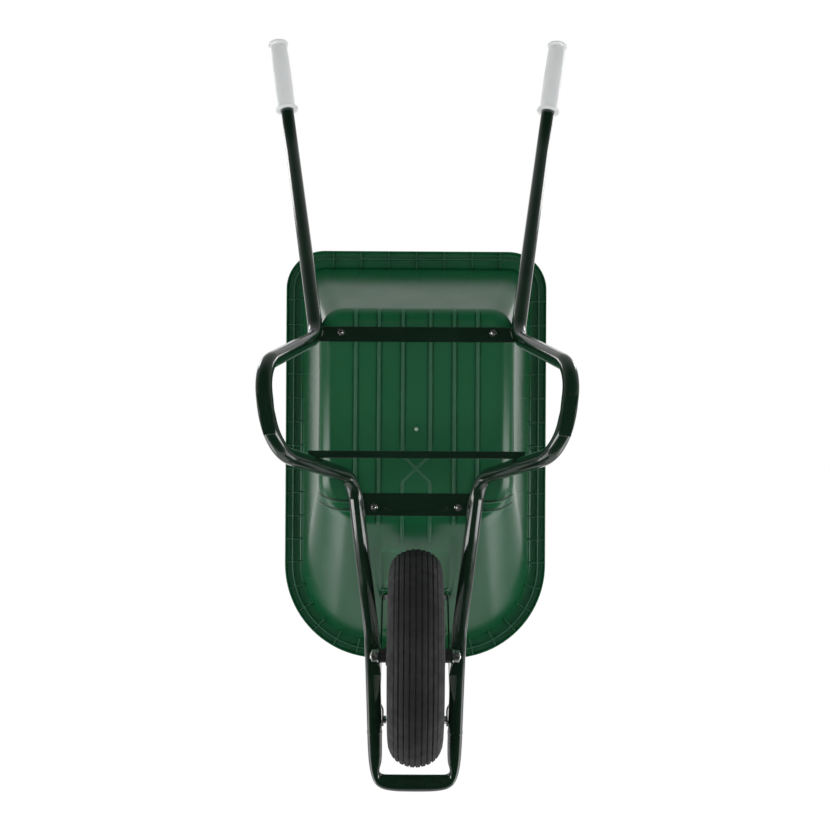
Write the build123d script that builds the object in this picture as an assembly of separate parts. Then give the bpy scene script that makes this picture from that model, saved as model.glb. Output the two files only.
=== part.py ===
from build123d import *
from math import hypot, sqrt
import os

# Builder's wheelbarrow with a one-piece bent tube frame, a deep plastic tray and a pneumatic wheel.
# Millimetres.  +Z up, +Y towards the handles, -Y towards the nose, +X to the left of the user.
# Shapes are drawn with Y measured from the wheel's axle and z from the ground.  export_all moves them
# so that the origin lies on the ground, below the middle of the whole barrow.

# --- wheel -----------------------------------------------------------------------------------------
WHEEL_R = 190.0
TYRE_HALF_WIDTH = 48.5
TREAD_HALF_WIDTH = 36.0
TREAD_EDGE_R = 177.0
BELLY_R = 145.5
BEAD_FLARE = 1.0
CARCASS = 8.0
BELLY_SHARE = 0.75
SHOULDER_SHARE = (0.7, 0.8)
BEAD_R = 101.5
BEAD_HALF_WIDTH = 36.0
INNER_TUBE_MIDDLE_R = 142.0
INNER_TUBE_HALF_WIDTH = 38.5
INNER_TUBE_HALF_HEIGHT = 36.5
INNER_TUBE_WALL = 2.0
RIM_SHEET = 2.0
RIM_FLANGE_R = 112.0
RIM_FLARE = (5.0, 2.0)
RIM_LIP_DEPTH = 3.0
RIM_DISC_R = 50.0
RIM_DISH = (24.0, 24.0)
RIM_COLLAR_X = (32.0, 40.0)
RIM_BENDS = [3, 2.5, 2.5, 8, 4, 3]
RIM_BOLT_HEAD = 5.5
RIM_BOLT_TAIL = 2.0
HUB_R = 17.0
HUB_BORE_R = 14.0
HUB_HALF_LENGTH = 50.0
BUSH_FLANGE = 3.0
BUSH_DEPTH = 22.0
RIM_BOLT_COUNT = 4
RIM_BOLT_CIRCLE_R = 66.0
VALVE_X = 18.0
VALVE_ANGLE = 35.0
VALVE_HOLE_R = 5.0
VALVE_BASE = (8.0, 104.0, 108.0)
VALVE_RUBBER = (4.6, 76.0, 106.0)
VALVE_NECK = (2.6, 62.0, 79.0)
VALVE_CAP = (4.2, 60.5, 73.5)
VALVE_CAP_TOP = 1.5

# --- axle ------------------------------------------------------------------------------------------
AXLE_R = 6.0
AXLE_HALF_LENGTH = 81.0
AXLE_CHAMFER = 1.2
RUNNING_GAP = 0.05
SIDE_GAP = 0.3
SPACER_R = 12.0
AXLE_NUT_FLATS = 19.0
AXLE_NUT_HEIGHT = 10.0
AXLE_WASHER_R = 12.0
AXLE_WASHER = 2.5

# --- frame tube: corner points (X, Y from the axle, Z) of the centre line on the +X side --------------
TUBE_R = 14.0
TUBE_WALL = 1.5
PLATE = 4.0
RAIL_Z = 275.0
FOOT_TUBE_Z = PLATE + TUBE_R
HANDLE_END = (303.0, 1234.0, 608.0)
HANDLE_BEND = (271.0, 1026.0, 568.0)
REAR_BEND = (188.0, 577.0, 284.0)
HEEL = (255.0, 510.0, FOOT_TUBE_Z)
SOLE = (247.0, 436.0, FOOT_TUBE_Z)
TOE = (232.0, 369.0, FOOT_TUBE_Z)
KNEE = (117.0, 314.0, RAIL_Z)
RAIL_KINK = (81.3, 22.0, RAIL_Z)
NOSE_CORNER = (71.6, -257.0, RAIL_Z)
BEND_RADII = [250.0, 80.0, 60.0, 150.0, 70.0, 60.0, 400.0]
NOSE_RADIUS = 30.0
SLEEVE_Y = -163.0
SPIGOT_LENGTH = 35.0
SPIGOT_GAP = 0.05

# --- tray ------------------------------------------------------------------------------------------
TRAY_WALL = 3.5
FLOOR_Z = 295.0
PAD = 2.0
REAR_PAD_SHIFT = 4.0
FRONT_PAD_MARGIN = 16.0
RIM_Z = 590.0
FLOOR_HALF_WIDTH = 181.0
FLOOR_REAR_Y = 626.0
FLOOR_FRONT_Y = 231.5
MOUTH_HALF_WIDTH = 245.0
MOUTH_REAR_Y = 749.5
MOUTH_FRONT_Y = -54.5
FLOOR_REAR_RADIUS = 46.0
FLOOR_FRONT_RADIUS = 95.0
MOUTH_REAR_RADIUS = 48.0
MOUTH_FRONT_RADIUS = 167.0
FLOOR_EDGE_RADIUS = 32.0
RIM_WIDTH = 34.0
RIM_LIP = 13.0
RIB_WIDTH = 4.0
RIB_X = [26.0, 71.0, 115.0]

# --- cross members, brackets and fasteners ------------------------------------------------------------
REAR_STRAP_Y = 582.5
REAR_STRAP_WIDTH = 28.0
FRONT_STRAP_Y = 262.5
FRONT_STRAP_WIDTH = 42.0
FRONT_STRAP_HALF_LENGTH = 119.0
BEAD_LENGTH = 118.0
BEAD_WIDTH = 11.0
BEAD_HEIGHT = 2.5
BEAD_SHIFT = 6.0
REAR_BOLT_X = 143.0
REAR_BOLT_Y = 586.0
FRONT_BOLT_X = 79.0
FRONT_BOLT_Y = 258.0
BOLT_R = 4.0
HOLE_GAP = 0.3
HOLE_R = BOLT_R + HOLE_GAP
NUT_FLATS = 13.0
NUT_HEIGHT = 6.5
BOLT_HEAD_R = 10.0
BOLT_HEAD_HEIGHT = 4.5
WASHER_R = 11.0
WASHER = 1.6
BOLT_TAIL = 4.0
BRACE_Y = 361.0
BRACE_Z = 155.0
BRACE_HALF_LENGTH = 190.0
BRACE_SIZE = (13.0, 8.0)
BRACE_EDGE = 1.5
FOOT_PLATE_CENTRE = (244.5, 431.5)
FOOT_PLATE_ANGLE = 9.0
FOOT_PLATE_LENGTH = 68.0
FOOT_PLATE_WIDTH = 20.0
FOOT_PLATE_FLAT = 46.0
FOOT_PLATE_RISE = 4.0
BRACKET_SHEET = 3.0
BRACKET_INNER_X = 63.0
BRACKET_OUTER_X = 86.0
BRACKET_REAR_Y = 7.0
BRACKET_FRONT_Y = -50.0
BRACKET_EYE_R = 19.0
STAY_WIDTH = 16.0
STAY_SHEET = 3.0
STAY_HEIGHT = 470.0
STAY_HALF_WIDTH = 66.5
STAY_END_X = 59.8
STAY_LENGTH = 287.0
STAY_STUD_AT = 278.0
STAY_JOGGLE = (41.0, 26.0)
STAY_BENDS = [20, 20, 8, 8, 20, 20]
STAY_BOLT_X = 35.0
STAY_BOLT_R = 3.0
STAY_HEAD = (8.0, 3.5)
STAY_BOLT_TAIL = 3.0
STAY_NUT_FLATS = 10.0
STAY_NUT_HEIGHT = 5.0
STUD_END_X = 52.9

# --- grips -----------------------------------------------------------------------------------------
GRIP_LENGTH = 158.0
GRIP_R = 18.0
GRIP_BULGE = 1.2
GRIP_FLANGE_R = 24.0
GRIP_FLANGE = 5.0
GRIP_END_FLANGE_R = 21.5
GRIP_END_WALL = 4.0
GRIP_END_FLANGE = 5.0
GRIP_TAPERS = (4.0, 3.0)
GRIP_EDGE = 1.2

SIDES = {"left": 1, "right": -1}


# --- helpers ---------------------------------------------------------------------------------------
def on_side(shape, side):
    """The +X shape itself, or its mirror image on the -X side."""
    if side > 0:
        return shape
    return mirror(shape, about=Plane.YZ)


def both_sides(shape):
    """A group of the +X shape and its mirror image."""
    return Compound(children=[*solids_of(shape), *solids_of(on_side(shape, -1))])


def solids_of(shape):
    return list(shape.solids())


def unit_to(start, end):
    """Unit vector from one point to another."""
    step = Vector(*end) - Vector(*start)
    return step.normalized()


def swept_disc(path, radius):
    """Solid round bar along a path."""
    return sweep(Plane(path @ 0, z_dir=path % 0) * Circle(radius), path=path)


def swept_tube(path, radius, wall):
    """Open-ended round tube along a path."""
    return swept_disc(path, radius) - swept_disc(path, radius - wall)


def x_cylinder(radius, low_x, high_x, y=0.0, z=0.0):
    """Cylinder along X between two X positions."""
    centre = Pos((low_x + high_x) / 2, y, z)
    return centre * Rot(0, 90, 0) * Cylinder(radius, high_x - low_x)


def hexagon(flats, height):
    """Hexagonal nut blank standing on z = 0, with its corners rounded off at both faces."""
    corner_r = flats / sqrt(3)
    prism = extrude(RegularPolygon(corner_r, 6), height)
    ball = chamfer(Cylinder(corner_r, height).edges(), height * 0.14)
    return prism & Pos(0, 0, height / 2) * ball


def nut(flats, height, bore_r):
    """Hexagonal nut standing on z = 0."""
    return hexagon(flats, height) - Cylinder(bore_r, 3 * height)


def washer(radius, bore_r, height):
    """Round washer standing on z = 0."""
    ring = Circle(radius) - Circle(bore_r)
    return extrude(ring, height)


def domed_bolt(head_r, head_height, shank_r, shank_length):
    """Mushroom-head bolt: the head stands on z = 0, the shank hangs below it."""
    dome_r = (head_r**2 + head_height**2) / (2 * head_height)
    dome = Pos(0, 0, head_height - dome_r) * Sphere(dome_r)
    head = dome & Pos(0, 0, head_height / 2) * Cylinder(head_r, head_height)
    shank = Pos(0, 0, -shank_length / 2) * Cylinder(shank_r, shank_length)
    return head + shank


# --- frame tube -------------------------------------------------------------------------------------
def rail_x(y):
    """X of the front rail's centre line between the kink above the axle and the nose."""
    share = (RAIL_KINK[1] - y) / (RAIL_KINK[1] - NOSE_CORNER[1])
    return RAIL_KINK[0] + share * (NOSE_CORNER[0] - RAIL_KINK[0])


def side_path():
    """Centre line of the +X tube, from the handle's end down to the foot and on to the nose sleeve."""
    sleeve_end = (rail_x(SLEEVE_Y), SLEEVE_Y, RAIL_Z)
    corners = [HANDLE_END, HANDLE_BEND, REAR_BEND, HEEL, SOLE, TOE, KNEE, RAIL_KINK, sleeve_end]
    return FilletPolyline(*corners, radius=BEND_RADII)


def side_tube():
    return swept_tube(side_path(), TUBE_R, TUBE_WALL)


def side_tube_envelope():
    """The +X tube as a solid bar, used to fit welded pieces against it."""
    return swept_disc(side_path(), TUBE_R)


def nose_loop():
    """U-shaped tube round the front of the wheel, with spigots that enter the side tubes."""
    left = (rail_x(SLEEVE_Y), SLEEVE_Y, RAIL_Z)
    right = (-left[0], SLEEVE_Y, RAIL_Z)
    right_corner = (-NOSE_CORNER[0], NOSE_CORNER[1], NOSE_CORNER[2])
    path = FilletPolyline(left, NOSE_CORNER, right_corner, right, radius=NOSE_RADIUS)
    loop = swept_tube(path, TUBE_R, TUBE_WALL)
    spigot_r = TUBE_R - TUBE_WALL - SPIGOT_GAP
    back = unit_to(NOSE_CORNER, left)
    start = Vector(*left) - back * SPIGOT_LENGTH / 2
    spigot_path = Line(start, Vector(*left) + back * SPIGOT_LENGTH)
    spigot = swept_tube(spigot_path, spigot_r, TUBE_WALL)
    shoulder_path = Line(start, Vector(*left))
    shoulder = swept_tube(shoulder_path, TUBE_R - TUBE_WALL / 2, TUBE_WALL)
    insert = spigot + shoulder
    return loop + insert + on_side(insert, -1)


# --- welded pieces ------------------------------------------------------------------------------------
def rear_cross_member():
    """Flat strap under the rear of the tray, let in between the two rear bends."""
    half_length = REAR_BEND[0]
    bar = Box(2 * half_length, REAR_STRAP_WIDTH, PLATE)
    bar = fillet(bar.edges().filter_by(Axis.X), PLATE / 4)
    strap = Pos(0, REAR_STRAP_Y, FLOOR_Z - PAD - PLATE / 2) * bar
    for side in SIDES.values():
        strap -= Pos(side * REAR_BOLT_X, REAR_BOLT_Y, FLOOR_Z) * Cylinder(HOLE_R, 6 * PLATE)
        strap -= on_side(side_tube_envelope(), side)
    pieces = strap.solids().sort_by(SortBy.VOLUME)
    return pieces[-1]


def front_cross_member():
    """Flat strap on top of the front rails, with a pressed stiffening bead."""
    bar = Box(2 * FRONT_STRAP_HALF_LENGTH, FRONT_STRAP_WIDTH, PLATE)
    bar = fillet(bar.edges().filter_by(Axis.X), PLATE / 4)
    middle = Pos(0, FRONT_STRAP_Y, FLOOR_Z - PAD - PLATE / 2)
    bead = extrude(SlotOverall(BEAD_LENGTH, BEAD_WIDTH), -BEAD_HEIGHT)
    bead = fillet(bead.edges().group_by(Axis.Z)[0], BEAD_HEIGHT * 0.8)
    strap = middle * bar + middle * Pos(0, -BEAD_SHIFT, -PLATE / 2) * bead
    for side in SIDES.values():
        strap -= Pos(side * FRONT_BOLT_X, FRONT_BOLT_Y, FLOOR_Z) * Cylinder(HOLE_R, 6 * PLATE)
        strap -= on_side(side_tube_envelope(), side)
    pieces = strap.solids().sort_by(SortBy.VOLUME)
    return pieces[-1]


def leg_brace():
    """Flat bar across the two legs, fitted against the back of both tubes."""
    bar = Box(2 * BRACE_HALF_LENGTH, *BRACE_SIZE)
    bar = fillet(bar.edges().filter_by(Axis.X), BRACE_EDGE)
    brace = Pos(0, BRACE_Y, BRACE_Z) * bar
    for side in SIDES.values():
        brace -= on_side(side_tube_envelope(), side)
    pieces = brace.solids().sort_by(SortBy.VOLUME)
    return pieces[-1]


def foot_plate():
    """Wear plate under the foot, flat for the ground and turned up at the toe."""
    half = FOOT_PLATE_LENGTH / 2
    kink = half - FOOT_PLATE_FLAT
    profile = Polygon(
        (-half, FOOT_PLATE_RISE), (kink, 0), (half, 0), (half, PLATE), (kink, PLATE),
        (-half, PLATE + FOOT_PLATE_RISE), align=None,
    )
    plate = extrude(Plane.YZ * profile, FOOT_PLATE_WIDTH / 2, both=True)
    at = Pos(FOOT_PLATE_CENTRE[0], FOOT_PLATE_CENTRE[1], 0) * Rot(0, 0, -FOOT_PLATE_ANGLE)
    return at * plate - side_tube_envelope()


def axle_bracket():
    """Angle bracket: one leg under the rail, the other hanging inside it with the axle's eye."""
    top_z = RAIL_Z - TUBE_R
    width = BRACKET_OUTER_X - BRACKET_INNER_X
    length = BRACKET_REAR_Y - BRACKET_FRONT_Y
    middle = Pos(BRACKET_INNER_X + width / 2, BRACKET_FRONT_Y + length / 2, top_z - BRACKET_SHEET / 2)
    shelf = middle * Box(width, length, BRACKET_SHEET)
    drop = top_z - WHEEL_R
    plate = Polygon(
        (BRACKET_FRONT_Y, drop), (-BRACKET_EYE_R, 0), (BRACKET_EYE_R, 0), (BRACKET_REAR_Y, drop), align=None
    )
    outline = plate + Circle(BRACKET_EYE_R)
    outline -= Circle(AXLE_R + RUNNING_GAP)
    hanger = Pos(BRACKET_INNER_X, 0, WHEEL_R) * extrude(Plane.YZ * outline, BRACKET_SHEET)
    bracket = shelf + hanger
    inner_edges = [e for e in bracket.edges().filter_by(Axis.Y) if e.center().X < BRACKET_INNER_X + 0.1]
    top_corner = sorted(inner_edges, key=lambda edge: edge.center().Z)[-1]
    return fillet(top_corner, BRACKET_SHEET * 0.9)


# --- tray ------------------------------------------------------------------------------------------
def tray_outline(z, inset=0.0):
    """Rounded outline of the tray's wall at one height, set in from its outer face by inset."""
    share = (z - FLOOR_Z) / (RIM_Z - FLOOR_Z)
    rise = RIM_Z - FLOOR_Z

    def edge(low, high):
        lean = (high - low) / rise
        return low + share * (high - low), inset * hypot(1, lean)

    side, side_inset = edge(FLOOR_HALF_WIDTH, MOUTH_HALF_WIDTH)
    rear, rear_inset = edge(FLOOR_REAR_Y, MOUTH_REAR_Y)
    front, front_inset = edge(FLOOR_FRONT_Y, MOUTH_FRONT_Y)
    rear_radius = edge(FLOOR_REAR_RADIUS, MOUTH_REAR_RADIUS)[0] - inset
    front_radius = edge(FLOOR_FRONT_RADIUS, MOUTH_FRONT_RADIUS)[0] - inset
    half_width = side - side_inset
    return rounded_plan(half_width, rear - rear_inset, front + front_inset, rear_radius, front_radius, z)


def rounded_plan(half_width, rear_y, front_y, rear_radius, front_radius, z):
    """Rectangle in plan with one radius for the rear corners and another for the front ones."""
    corners = [(-half_width, front_y), (half_width, front_y), (half_width, rear_y), (-half_width, rear_y)]
    plan = Polygon(*corners, align=None)
    by_y = plan.vertices().sort_by(Axis.Y)
    plan = fillet(by_y[2:], rear_radius)
    front_corners = [v for v in plan.vertices() if abs(v.Y - front_y) < 0.01]
    plan = fillet(front_corners, front_radius)
    return Pos(0, 0, z) * plan


def tray_block(bottom_z, top_z, inset):
    """Solid filled by the tray's wall shape between two heights, with a rounded floor edge."""
    block = loft([tray_outline(bottom_z, inset), tray_outline(top_z, inset)], ruled=True)
    return fillet(block.faces().sort_by(Axis.Z)[0].edges(), FLOOR_EDGE_RADIUS - inset)


def rim_plan(inset, z):
    """Outline of the tray's turned-over rim."""
    return rounded_plan(
        MOUTH_HALF_WIDTH + RIM_WIDTH - inset, MOUTH_REAR_Y + RIM_WIDTH - inset,
        MOUTH_FRONT_Y - RIM_WIDTH + inset, MOUTH_REAR_RADIUS + RIM_WIDTH - inset,
        MOUTH_FRONT_RADIUS + RIM_WIDTH - inset, z,
    )


def tray_rim():
    """Flat turned-out rim with a downward lip round its edge."""
    flange_z = RIM_Z - TRAY_WALL
    flange = extrude(rim_plan(0, flange_z), TRAY_WALL)
    lip = extrude(rim_plan(0, RIM_Z - RIM_LIP), RIM_LIP)
    lip -= extrude(rim_plan(TRAY_WALL, RIM_Z - RIM_LIP), RIM_LIP)
    rim = flange + lip
    top_edges = rim.faces().sort_by(Axis.Z)[-1].edges()
    return fillet(top_edges, TRAY_WALL * 0.8)


def floor_ribs():
    """Low ribs along the underside of the floor, and the two pads that rest on the straps."""
    front_y = FLOOR_FRONT_Y + FLOOR_EDGE_RADIUS
    rear_y = FLOOR_REAR_Y - FLOOR_EDGE_RADIUS
    rib = Box(RIB_WIDTH, rear_y - front_y, 2 * PAD)
    middle_y = (front_y + rear_y) / 2
    xs = [side * x for x in RIB_X for side in SIDES.values()]
    ribs = [Pos(x, middle_y, FLOOR_Z) * rib for x in xs]
    rear_pad = Box(2 * (REAR_BOLT_X + BOLT_HEAD_R - PAD), REAR_STRAP_WIDTH, 2 * PAD)
    front_pad = Box(2 * (FRONT_BOLT_X + FRONT_PAD_MARGIN), FRONT_STRAP_WIDTH, 2 * PAD)
    rear_spot = Pos(0, REAR_STRAP_Y - REAR_PAD_SHIFT, FLOOR_Z)
    pads = [rear_spot * rear_pad, Pos(0, FRONT_STRAP_Y, FLOOR_Z) * front_pad]
    return ribs + pads


def front_wall_frame(height):
    """Plane on the outside of the front wall at a height, Z pointing out of the tray."""
    lean = (FLOOR_FRONT_Y - MOUTH_FRONT_Y) / (RIM_Z - FLOOR_Z)
    y = FLOOR_FRONT_Y - lean * (height - FLOOR_Z)
    outward = Vector(0, -1, -lean).normalized()
    return Plane((0, y, height), x_dir=(1, 0, 0), z_dir=outward)


def tray():
    """Deep one-piece plastic tray."""
    outer = tray_block(FLOOR_Z, RIM_Z, 0)
    body = outer + tray_rim()
    for rib in floor_ribs():
        body += rib
    body -= tray_block(FLOOR_Z + TRAY_WALL, RIM_Z + 1, TRAY_WALL)
    for side in SIDES.values():
        body -= Pos(side * REAR_BOLT_X, REAR_BOLT_Y, FLOOR_Z) * Cylinder(HOLE_R, 40)
        body -= Pos(side * FRONT_BOLT_X, FRONT_BOLT_Y, FLOOR_Z) * Cylinder(HOLE_R, 40)
        wall = front_wall_frame(STAY_HEIGHT)
        body -= wall * Pos(side * STAY_BOLT_X, 0, 0) * Cylinder(STAY_BOLT_R + HOLE_GAP, 40)
    return body.solids().sort_by(SortBy.VOLUME)[-1]


# --- front stay ---------------------------------------------------------------------------------------
def front_stay():
    """U-shaped strip from the tray's front wall down to the inner sides of the two rails."""
    half = STAY_SHEET / 2
    knee, foot = [STAY_LENGTH - back for back in STAY_JOGGLE]
    leg = [(STAY_HALF_WIDTH, half), (STAY_HALF_WIDTH, knee), (STAY_END_X, foot), (STAY_END_X, STAY_LENGTH)]
    other = [(-x, y) for x, y in leg]
    line = FilletPolyline(*reversed(leg), *other, radius=STAY_BENDS)
    profile = Plane(line @ 0, x_dir=(1, 0, 0), z_dir=line % 0) * Rectangle(STAY_SHEET, STAY_WIDTH)
    strip = sweep(profile, path=line)
    for side in SIDES.values():
        strip -= Pos(side * STAY_BOLT_X, 0, 0) * Rot(90, 0, 0) * Cylinder(STAY_BOLT_R + HOLE_GAP, 20)
        strip -= Pos(side * STAY_END_X, STAY_STUD_AT, 0) * Rot(0, 90, 0) * Cylinder(HOLE_R, 20)
    wall = front_wall_frame(STAY_HEIGHT)
    local = Plane(wall.origin, x_dir=(1, 0, 0), z_dir=Vector(1, 0, 0).cross(wall.z_dir))
    return local * strip


def stud_point():
    """Where the stay's stud meets the rail, on the +X side."""
    wall = front_wall_frame(STAY_HEIGHT)
    return wall.origin + wall.z_dir * STAY_STUD_AT


def stay_studs():
    """Two threaded studs welded to the inner sides of the rails."""
    at = stud_point()
    stud = x_cylinder(BOLT_R, STUD_END_X, rail_x(at.Y) - TUBE_R, at.Y, at.Z) - side_tube_envelope()
    return both_sides(stud)


def stay_stud_nuts():
    """The nuts that hold the stay's legs on the studs."""
    at = stud_point()
    inner_x = STAY_END_X - STAY_SHEET / 2 - STAY_NUT_HEIGHT
    return both_sides(Pos(inner_x, at.Y, at.Z) * Rot(0, 90, 0) * nut(NUT_FLATS, STAY_NUT_HEIGHT, BOLT_R))


def stay_bolts():
    """Two domed bolts through the tray's front wall and the stay."""
    wall = front_wall_frame(STAY_HEIGHT)
    length = TRAY_WALL + STAY_SHEET + STAY_NUT_HEIGHT + STAY_BOLT_TAIL
    bolt = Rot(180, 0, 0) * domed_bolt(*STAY_HEAD, STAY_BOLT_R, length)
    return both_sides(wall * Pos(STAY_BOLT_X, 0, -TRAY_WALL) * bolt)


def stay_nuts():
    wall = front_wall_frame(STAY_HEIGHT)
    piece = nut(STAY_NUT_FLATS, STAY_NUT_HEIGHT, STAY_BOLT_R)
    return both_sides(wall * Pos(STAY_BOLT_X, 0, STAY_SHEET) * piece)


# --- tray fasteners -----------------------------------------------------------------------------------
def at_tray_bolts(piece, z):
    """Four copies of a piece, one at each bolt of the tray's floor."""
    spots = [(REAR_BOLT_X, REAR_BOLT_Y), (FRONT_BOLT_X, FRONT_BOLT_Y)]
    copies = [Pos(side * x, y, z) * piece for x, y in spots for side in SIDES.values()]
    return Compound(children=[solid for copy in copies for solid in solids_of(copy)])


def tray_bolts():
    strap_bottom = FLOOR_Z - PAD - PLATE
    head_z = FLOOR_Z + TRAY_WALL + WASHER
    shank = head_z - strap_bottom + NUT_HEIGHT + BOLT_TAIL
    return at_tray_bolts(domed_bolt(BOLT_HEAD_R, BOLT_HEAD_HEIGHT, BOLT_R, shank), head_z)


def tray_washers():
    return at_tray_bolts(washer(WASHER_R, HOLE_R, WASHER), FLOOR_Z + TRAY_WALL)


def tray_nuts():
    top_z = FLOOR_Z - PAD - PLATE
    return at_tray_bolts(nut(NUT_FLATS, NUT_HEIGHT, BOLT_R), top_z - NUT_HEIGHT)


# --- axle --------------------------------------------------------------------------------------------
def axle():
    bar = x_cylinder(AXLE_R, -AXLE_HALF_LENGTH, AXLE_HALF_LENGTH, 0, WHEEL_R)
    ends = bar.edges().filter_by(GeomType.CIRCLE)
    return chamfer(ends, AXLE_CHAMFER)


def axle_spacers():
    """Short tubes that keep the hub in the middle between the brackets."""
    low = HUB_HALF_LENGTH + BUSH_FLANGE + SIDE_GAP
    tube = x_cylinder(SPACER_R, low, BRACKET_INNER_X, 0, WHEEL_R)
    tube -= x_cylinder(AXLE_R + RUNNING_GAP, 0, BRACKET_OUTER_X, 0, WHEEL_R)
    return both_sides(tube)


def axle_washers():
    outer_x = BRACKET_INNER_X + BRACKET_SHEET
    ring = washer(AXLE_WASHER_R, AXLE_R + RUNNING_GAP, AXLE_WASHER)
    return both_sides(Pos(outer_x, 0, WHEEL_R) * Rot(0, 90, 0) * ring)


def axle_nuts():
    inner_x = BRACKET_INNER_X + BRACKET_SHEET + AXLE_WASHER
    piece = nut(AXLE_NUT_FLATS, AXLE_NUT_HEIGHT, AXLE_R)
    return both_sides(Pos(inner_x, 0, WHEEL_R) * Rot(0, 90, 0) * piece)


# --- wheel -------------------------------------------------------------------------------------------
def spun(profile):
    """Ring made by turning a profile, drawn as (X, radius), round the wheel's axis."""
    return Pos(0, 0, WHEEL_R) * revolve(profile, axis=Axis.X)


def tyre_curve(shrink):
    """Points of half the tyre's section: bead, widest point, tread edge and crown, less shrink."""
    bead = (BEAD_HALF_WIDTH + BEAD_FLARE - shrink, RIM_FLANGE_R)
    belly = (TYRE_HALF_WIDTH - shrink * BELLY_SHARE, BELLY_R)
    shoulder_x = TREAD_HALF_WIDTH - shrink * SHOULDER_SHARE[0]
    shoulder = (shoulder_x, TREAD_EDGE_R - shrink * SHOULDER_SHARE[1])
    crown = (0, WHEEL_R - shrink)
    return bead, belly, shoulder, crown


def tyre_face(shrink):
    """Section of the tyre's outer shape, or of its hollow when it is shrunk by the carcass."""
    bead, belly, shoulder, crown = tyre_curve(shrink)
    foot = (bead[0] - (BEAD_FLARE if shrink == 0 else 0), BEAD_R)

    def flipped(point):
        return (-point[0], point[1])

    edges = [
        Line(flipped(foot), foot),
        Line(foot, bead),
        ThreePointArc(bead, belly, shoulder),
        ThreePointArc(shoulder, crown, flipped(shoulder)),
        ThreePointArc(flipped(shoulder), flipped(belly), flipped(bead)),
        Line(flipped(bead), flipped(foot)),
    ]
    return make_face(edges)


def tyre():
    return spun(tyre_face(0) - tyre_face(CARCASS))


def inner_tube():
    """Air tube: a closed rubber ring that fills the tyre."""
    half_width, half_height = INNER_TUBE_HALF_WIDTH, INNER_TUBE_HALF_HEIGHT
    hollow = Ellipse(half_width - INNER_TUBE_WALL, half_height - INNER_TUBE_WALL)
    return spun(Pos(0, INNER_TUBE_MIDDLE_R) * (Ellipse(half_width, half_height) - hollow))


def rim_half():
    """Pressed half rim on the +X side: flange, bead seat, bolted web, dish and hub collar."""
    half = RIM_SHEET / 2
    flange_x = BEAD_HALF_WIDTH + RIM_SHEET
    points = [
        (flange_x + RIM_FLARE[0], RIM_FLANGE_R + RIM_FLARE[1]),
        (flange_x + half, RIM_FLANGE_R - RIM_LIP_DEPTH),
        (flange_x + half, BEAD_R - half),
        (half, BEAD_R - half),
        (half, RIM_DISC_R),
        RIM_DISH,
        (RIM_COLLAR_X[0], HUB_R + half),
        (RIM_COLLAR_X[1], HUB_R + half),
    ]
    line = FilletPolyline(*points, radius=RIM_BENDS)
    section = make_face(offset(line, amount=half, side=Side.BOTH, kind=Kind.INTERSECTION))
    half_rim = spun(section)
    for spot in bolt_spots():
        half_rim -= spot * x_cylinder(HOLE_R, -3 * RIM_SHEET, 3 * RIM_SHEET)
    return half_rim


def bolt_spots():
    """Places of the rim's bolts, on the web between the two halves."""
    return [
        Pos(0, 0, WHEEL_R) * Rot(360 * i / RIM_BOLT_COUNT + 45, 0, 0) * Pos(0, 0, RIM_BOLT_CIRCLE_R)
        for i in range(RIM_BOLT_COUNT)
    ]


def valve_place():
    """Frame of the valve: Z runs outwards along the wheel's radius."""
    return Pos(0, 0, WHEEL_R) * Rot(VALVE_ANGLE, 0, 0) * Pos(VALVE_X, 0, 0)


def left_rim_half():
    hole = valve_place() * Pos(0, 0, BEAD_R) * Cylinder(VALVE_HOLE_R, 6 * RIM_SHEET)
    return rim_half() - hole


def right_rim_half():
    return mirror(rim_half(), about=Plane.YZ)


def rim_bolts():
    """Hexagon-head bolts through the two half rims, heads on the +X side."""
    head = Rot(0, 90, 0) * hexagon(NUT_FLATS, RIM_BOLT_HEAD)
    tail_x = -RIM_SHEET - NUT_HEIGHT - RIM_BOLT_TAIL
    bolt = Pos(RIM_SHEET, 0, 0) * head + x_cylinder(BOLT_R, tail_x, RIM_SHEET)
    return Compound(children=[solid for spot in bolt_spots() for solid in solids_of(spot * bolt)])


def rim_nuts():
    piece = Pos(-RIM_SHEET, 0, 0) * Rot(0, -90, 0) * nut(NUT_FLATS, NUT_HEIGHT, BOLT_R)
    return Compound(children=[solid for spot in bolt_spots() for solid in solids_of(spot * piece)])


def hub_tube():
    tube = x_cylinder(HUB_R, -HUB_HALF_LENGTH, HUB_HALF_LENGTH, 0, WHEEL_R)
    return tube - x_cylinder(HUB_BORE_R, -HUB_HALF_LENGTH, HUB_HALF_LENGTH, 0, WHEEL_R)


def bush():
    """Flanged plain bearing in the +X end of the hub."""
    end = HUB_HALF_LENGTH
    body = x_cylinder(HUB_BORE_R, end - BUSH_DEPTH, end, 0, WHEEL_R)
    body += x_cylinder(HUB_R, end, end + BUSH_FLANGE, 0, WHEEL_R)
    return body - x_cylinder(AXLE_R + RUNNING_GAP, 0, end + 2 * BUSH_FLANGE, 0, WHEEL_R)


def radial_disc(radius, low_r, high_r):
    """Round bar along Z, which is the wheel's radius at the valve, between two distances from the axle."""
    return Pos(0, 0, (low_r + high_r) / 2) * Cylinder(radius, high_r - low_r)


def valve_stem():
    """Straight valve from the air tube through the rim, pointing at the hub."""
    stem = radial_disc(*VALVE_BASE) + radial_disc(*VALVE_RUBBER) + radial_disc(*VALVE_NECK)
    return valve_place() * stem


def valve_cap():
    radius, top_r, open_r = VALVE_CAP
    cap = radial_disc(radius, top_r, open_r) - radial_disc(VALVE_NECK[0], top_r + VALVE_CAP_TOP, open_r)
    return valve_place() * cap


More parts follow.
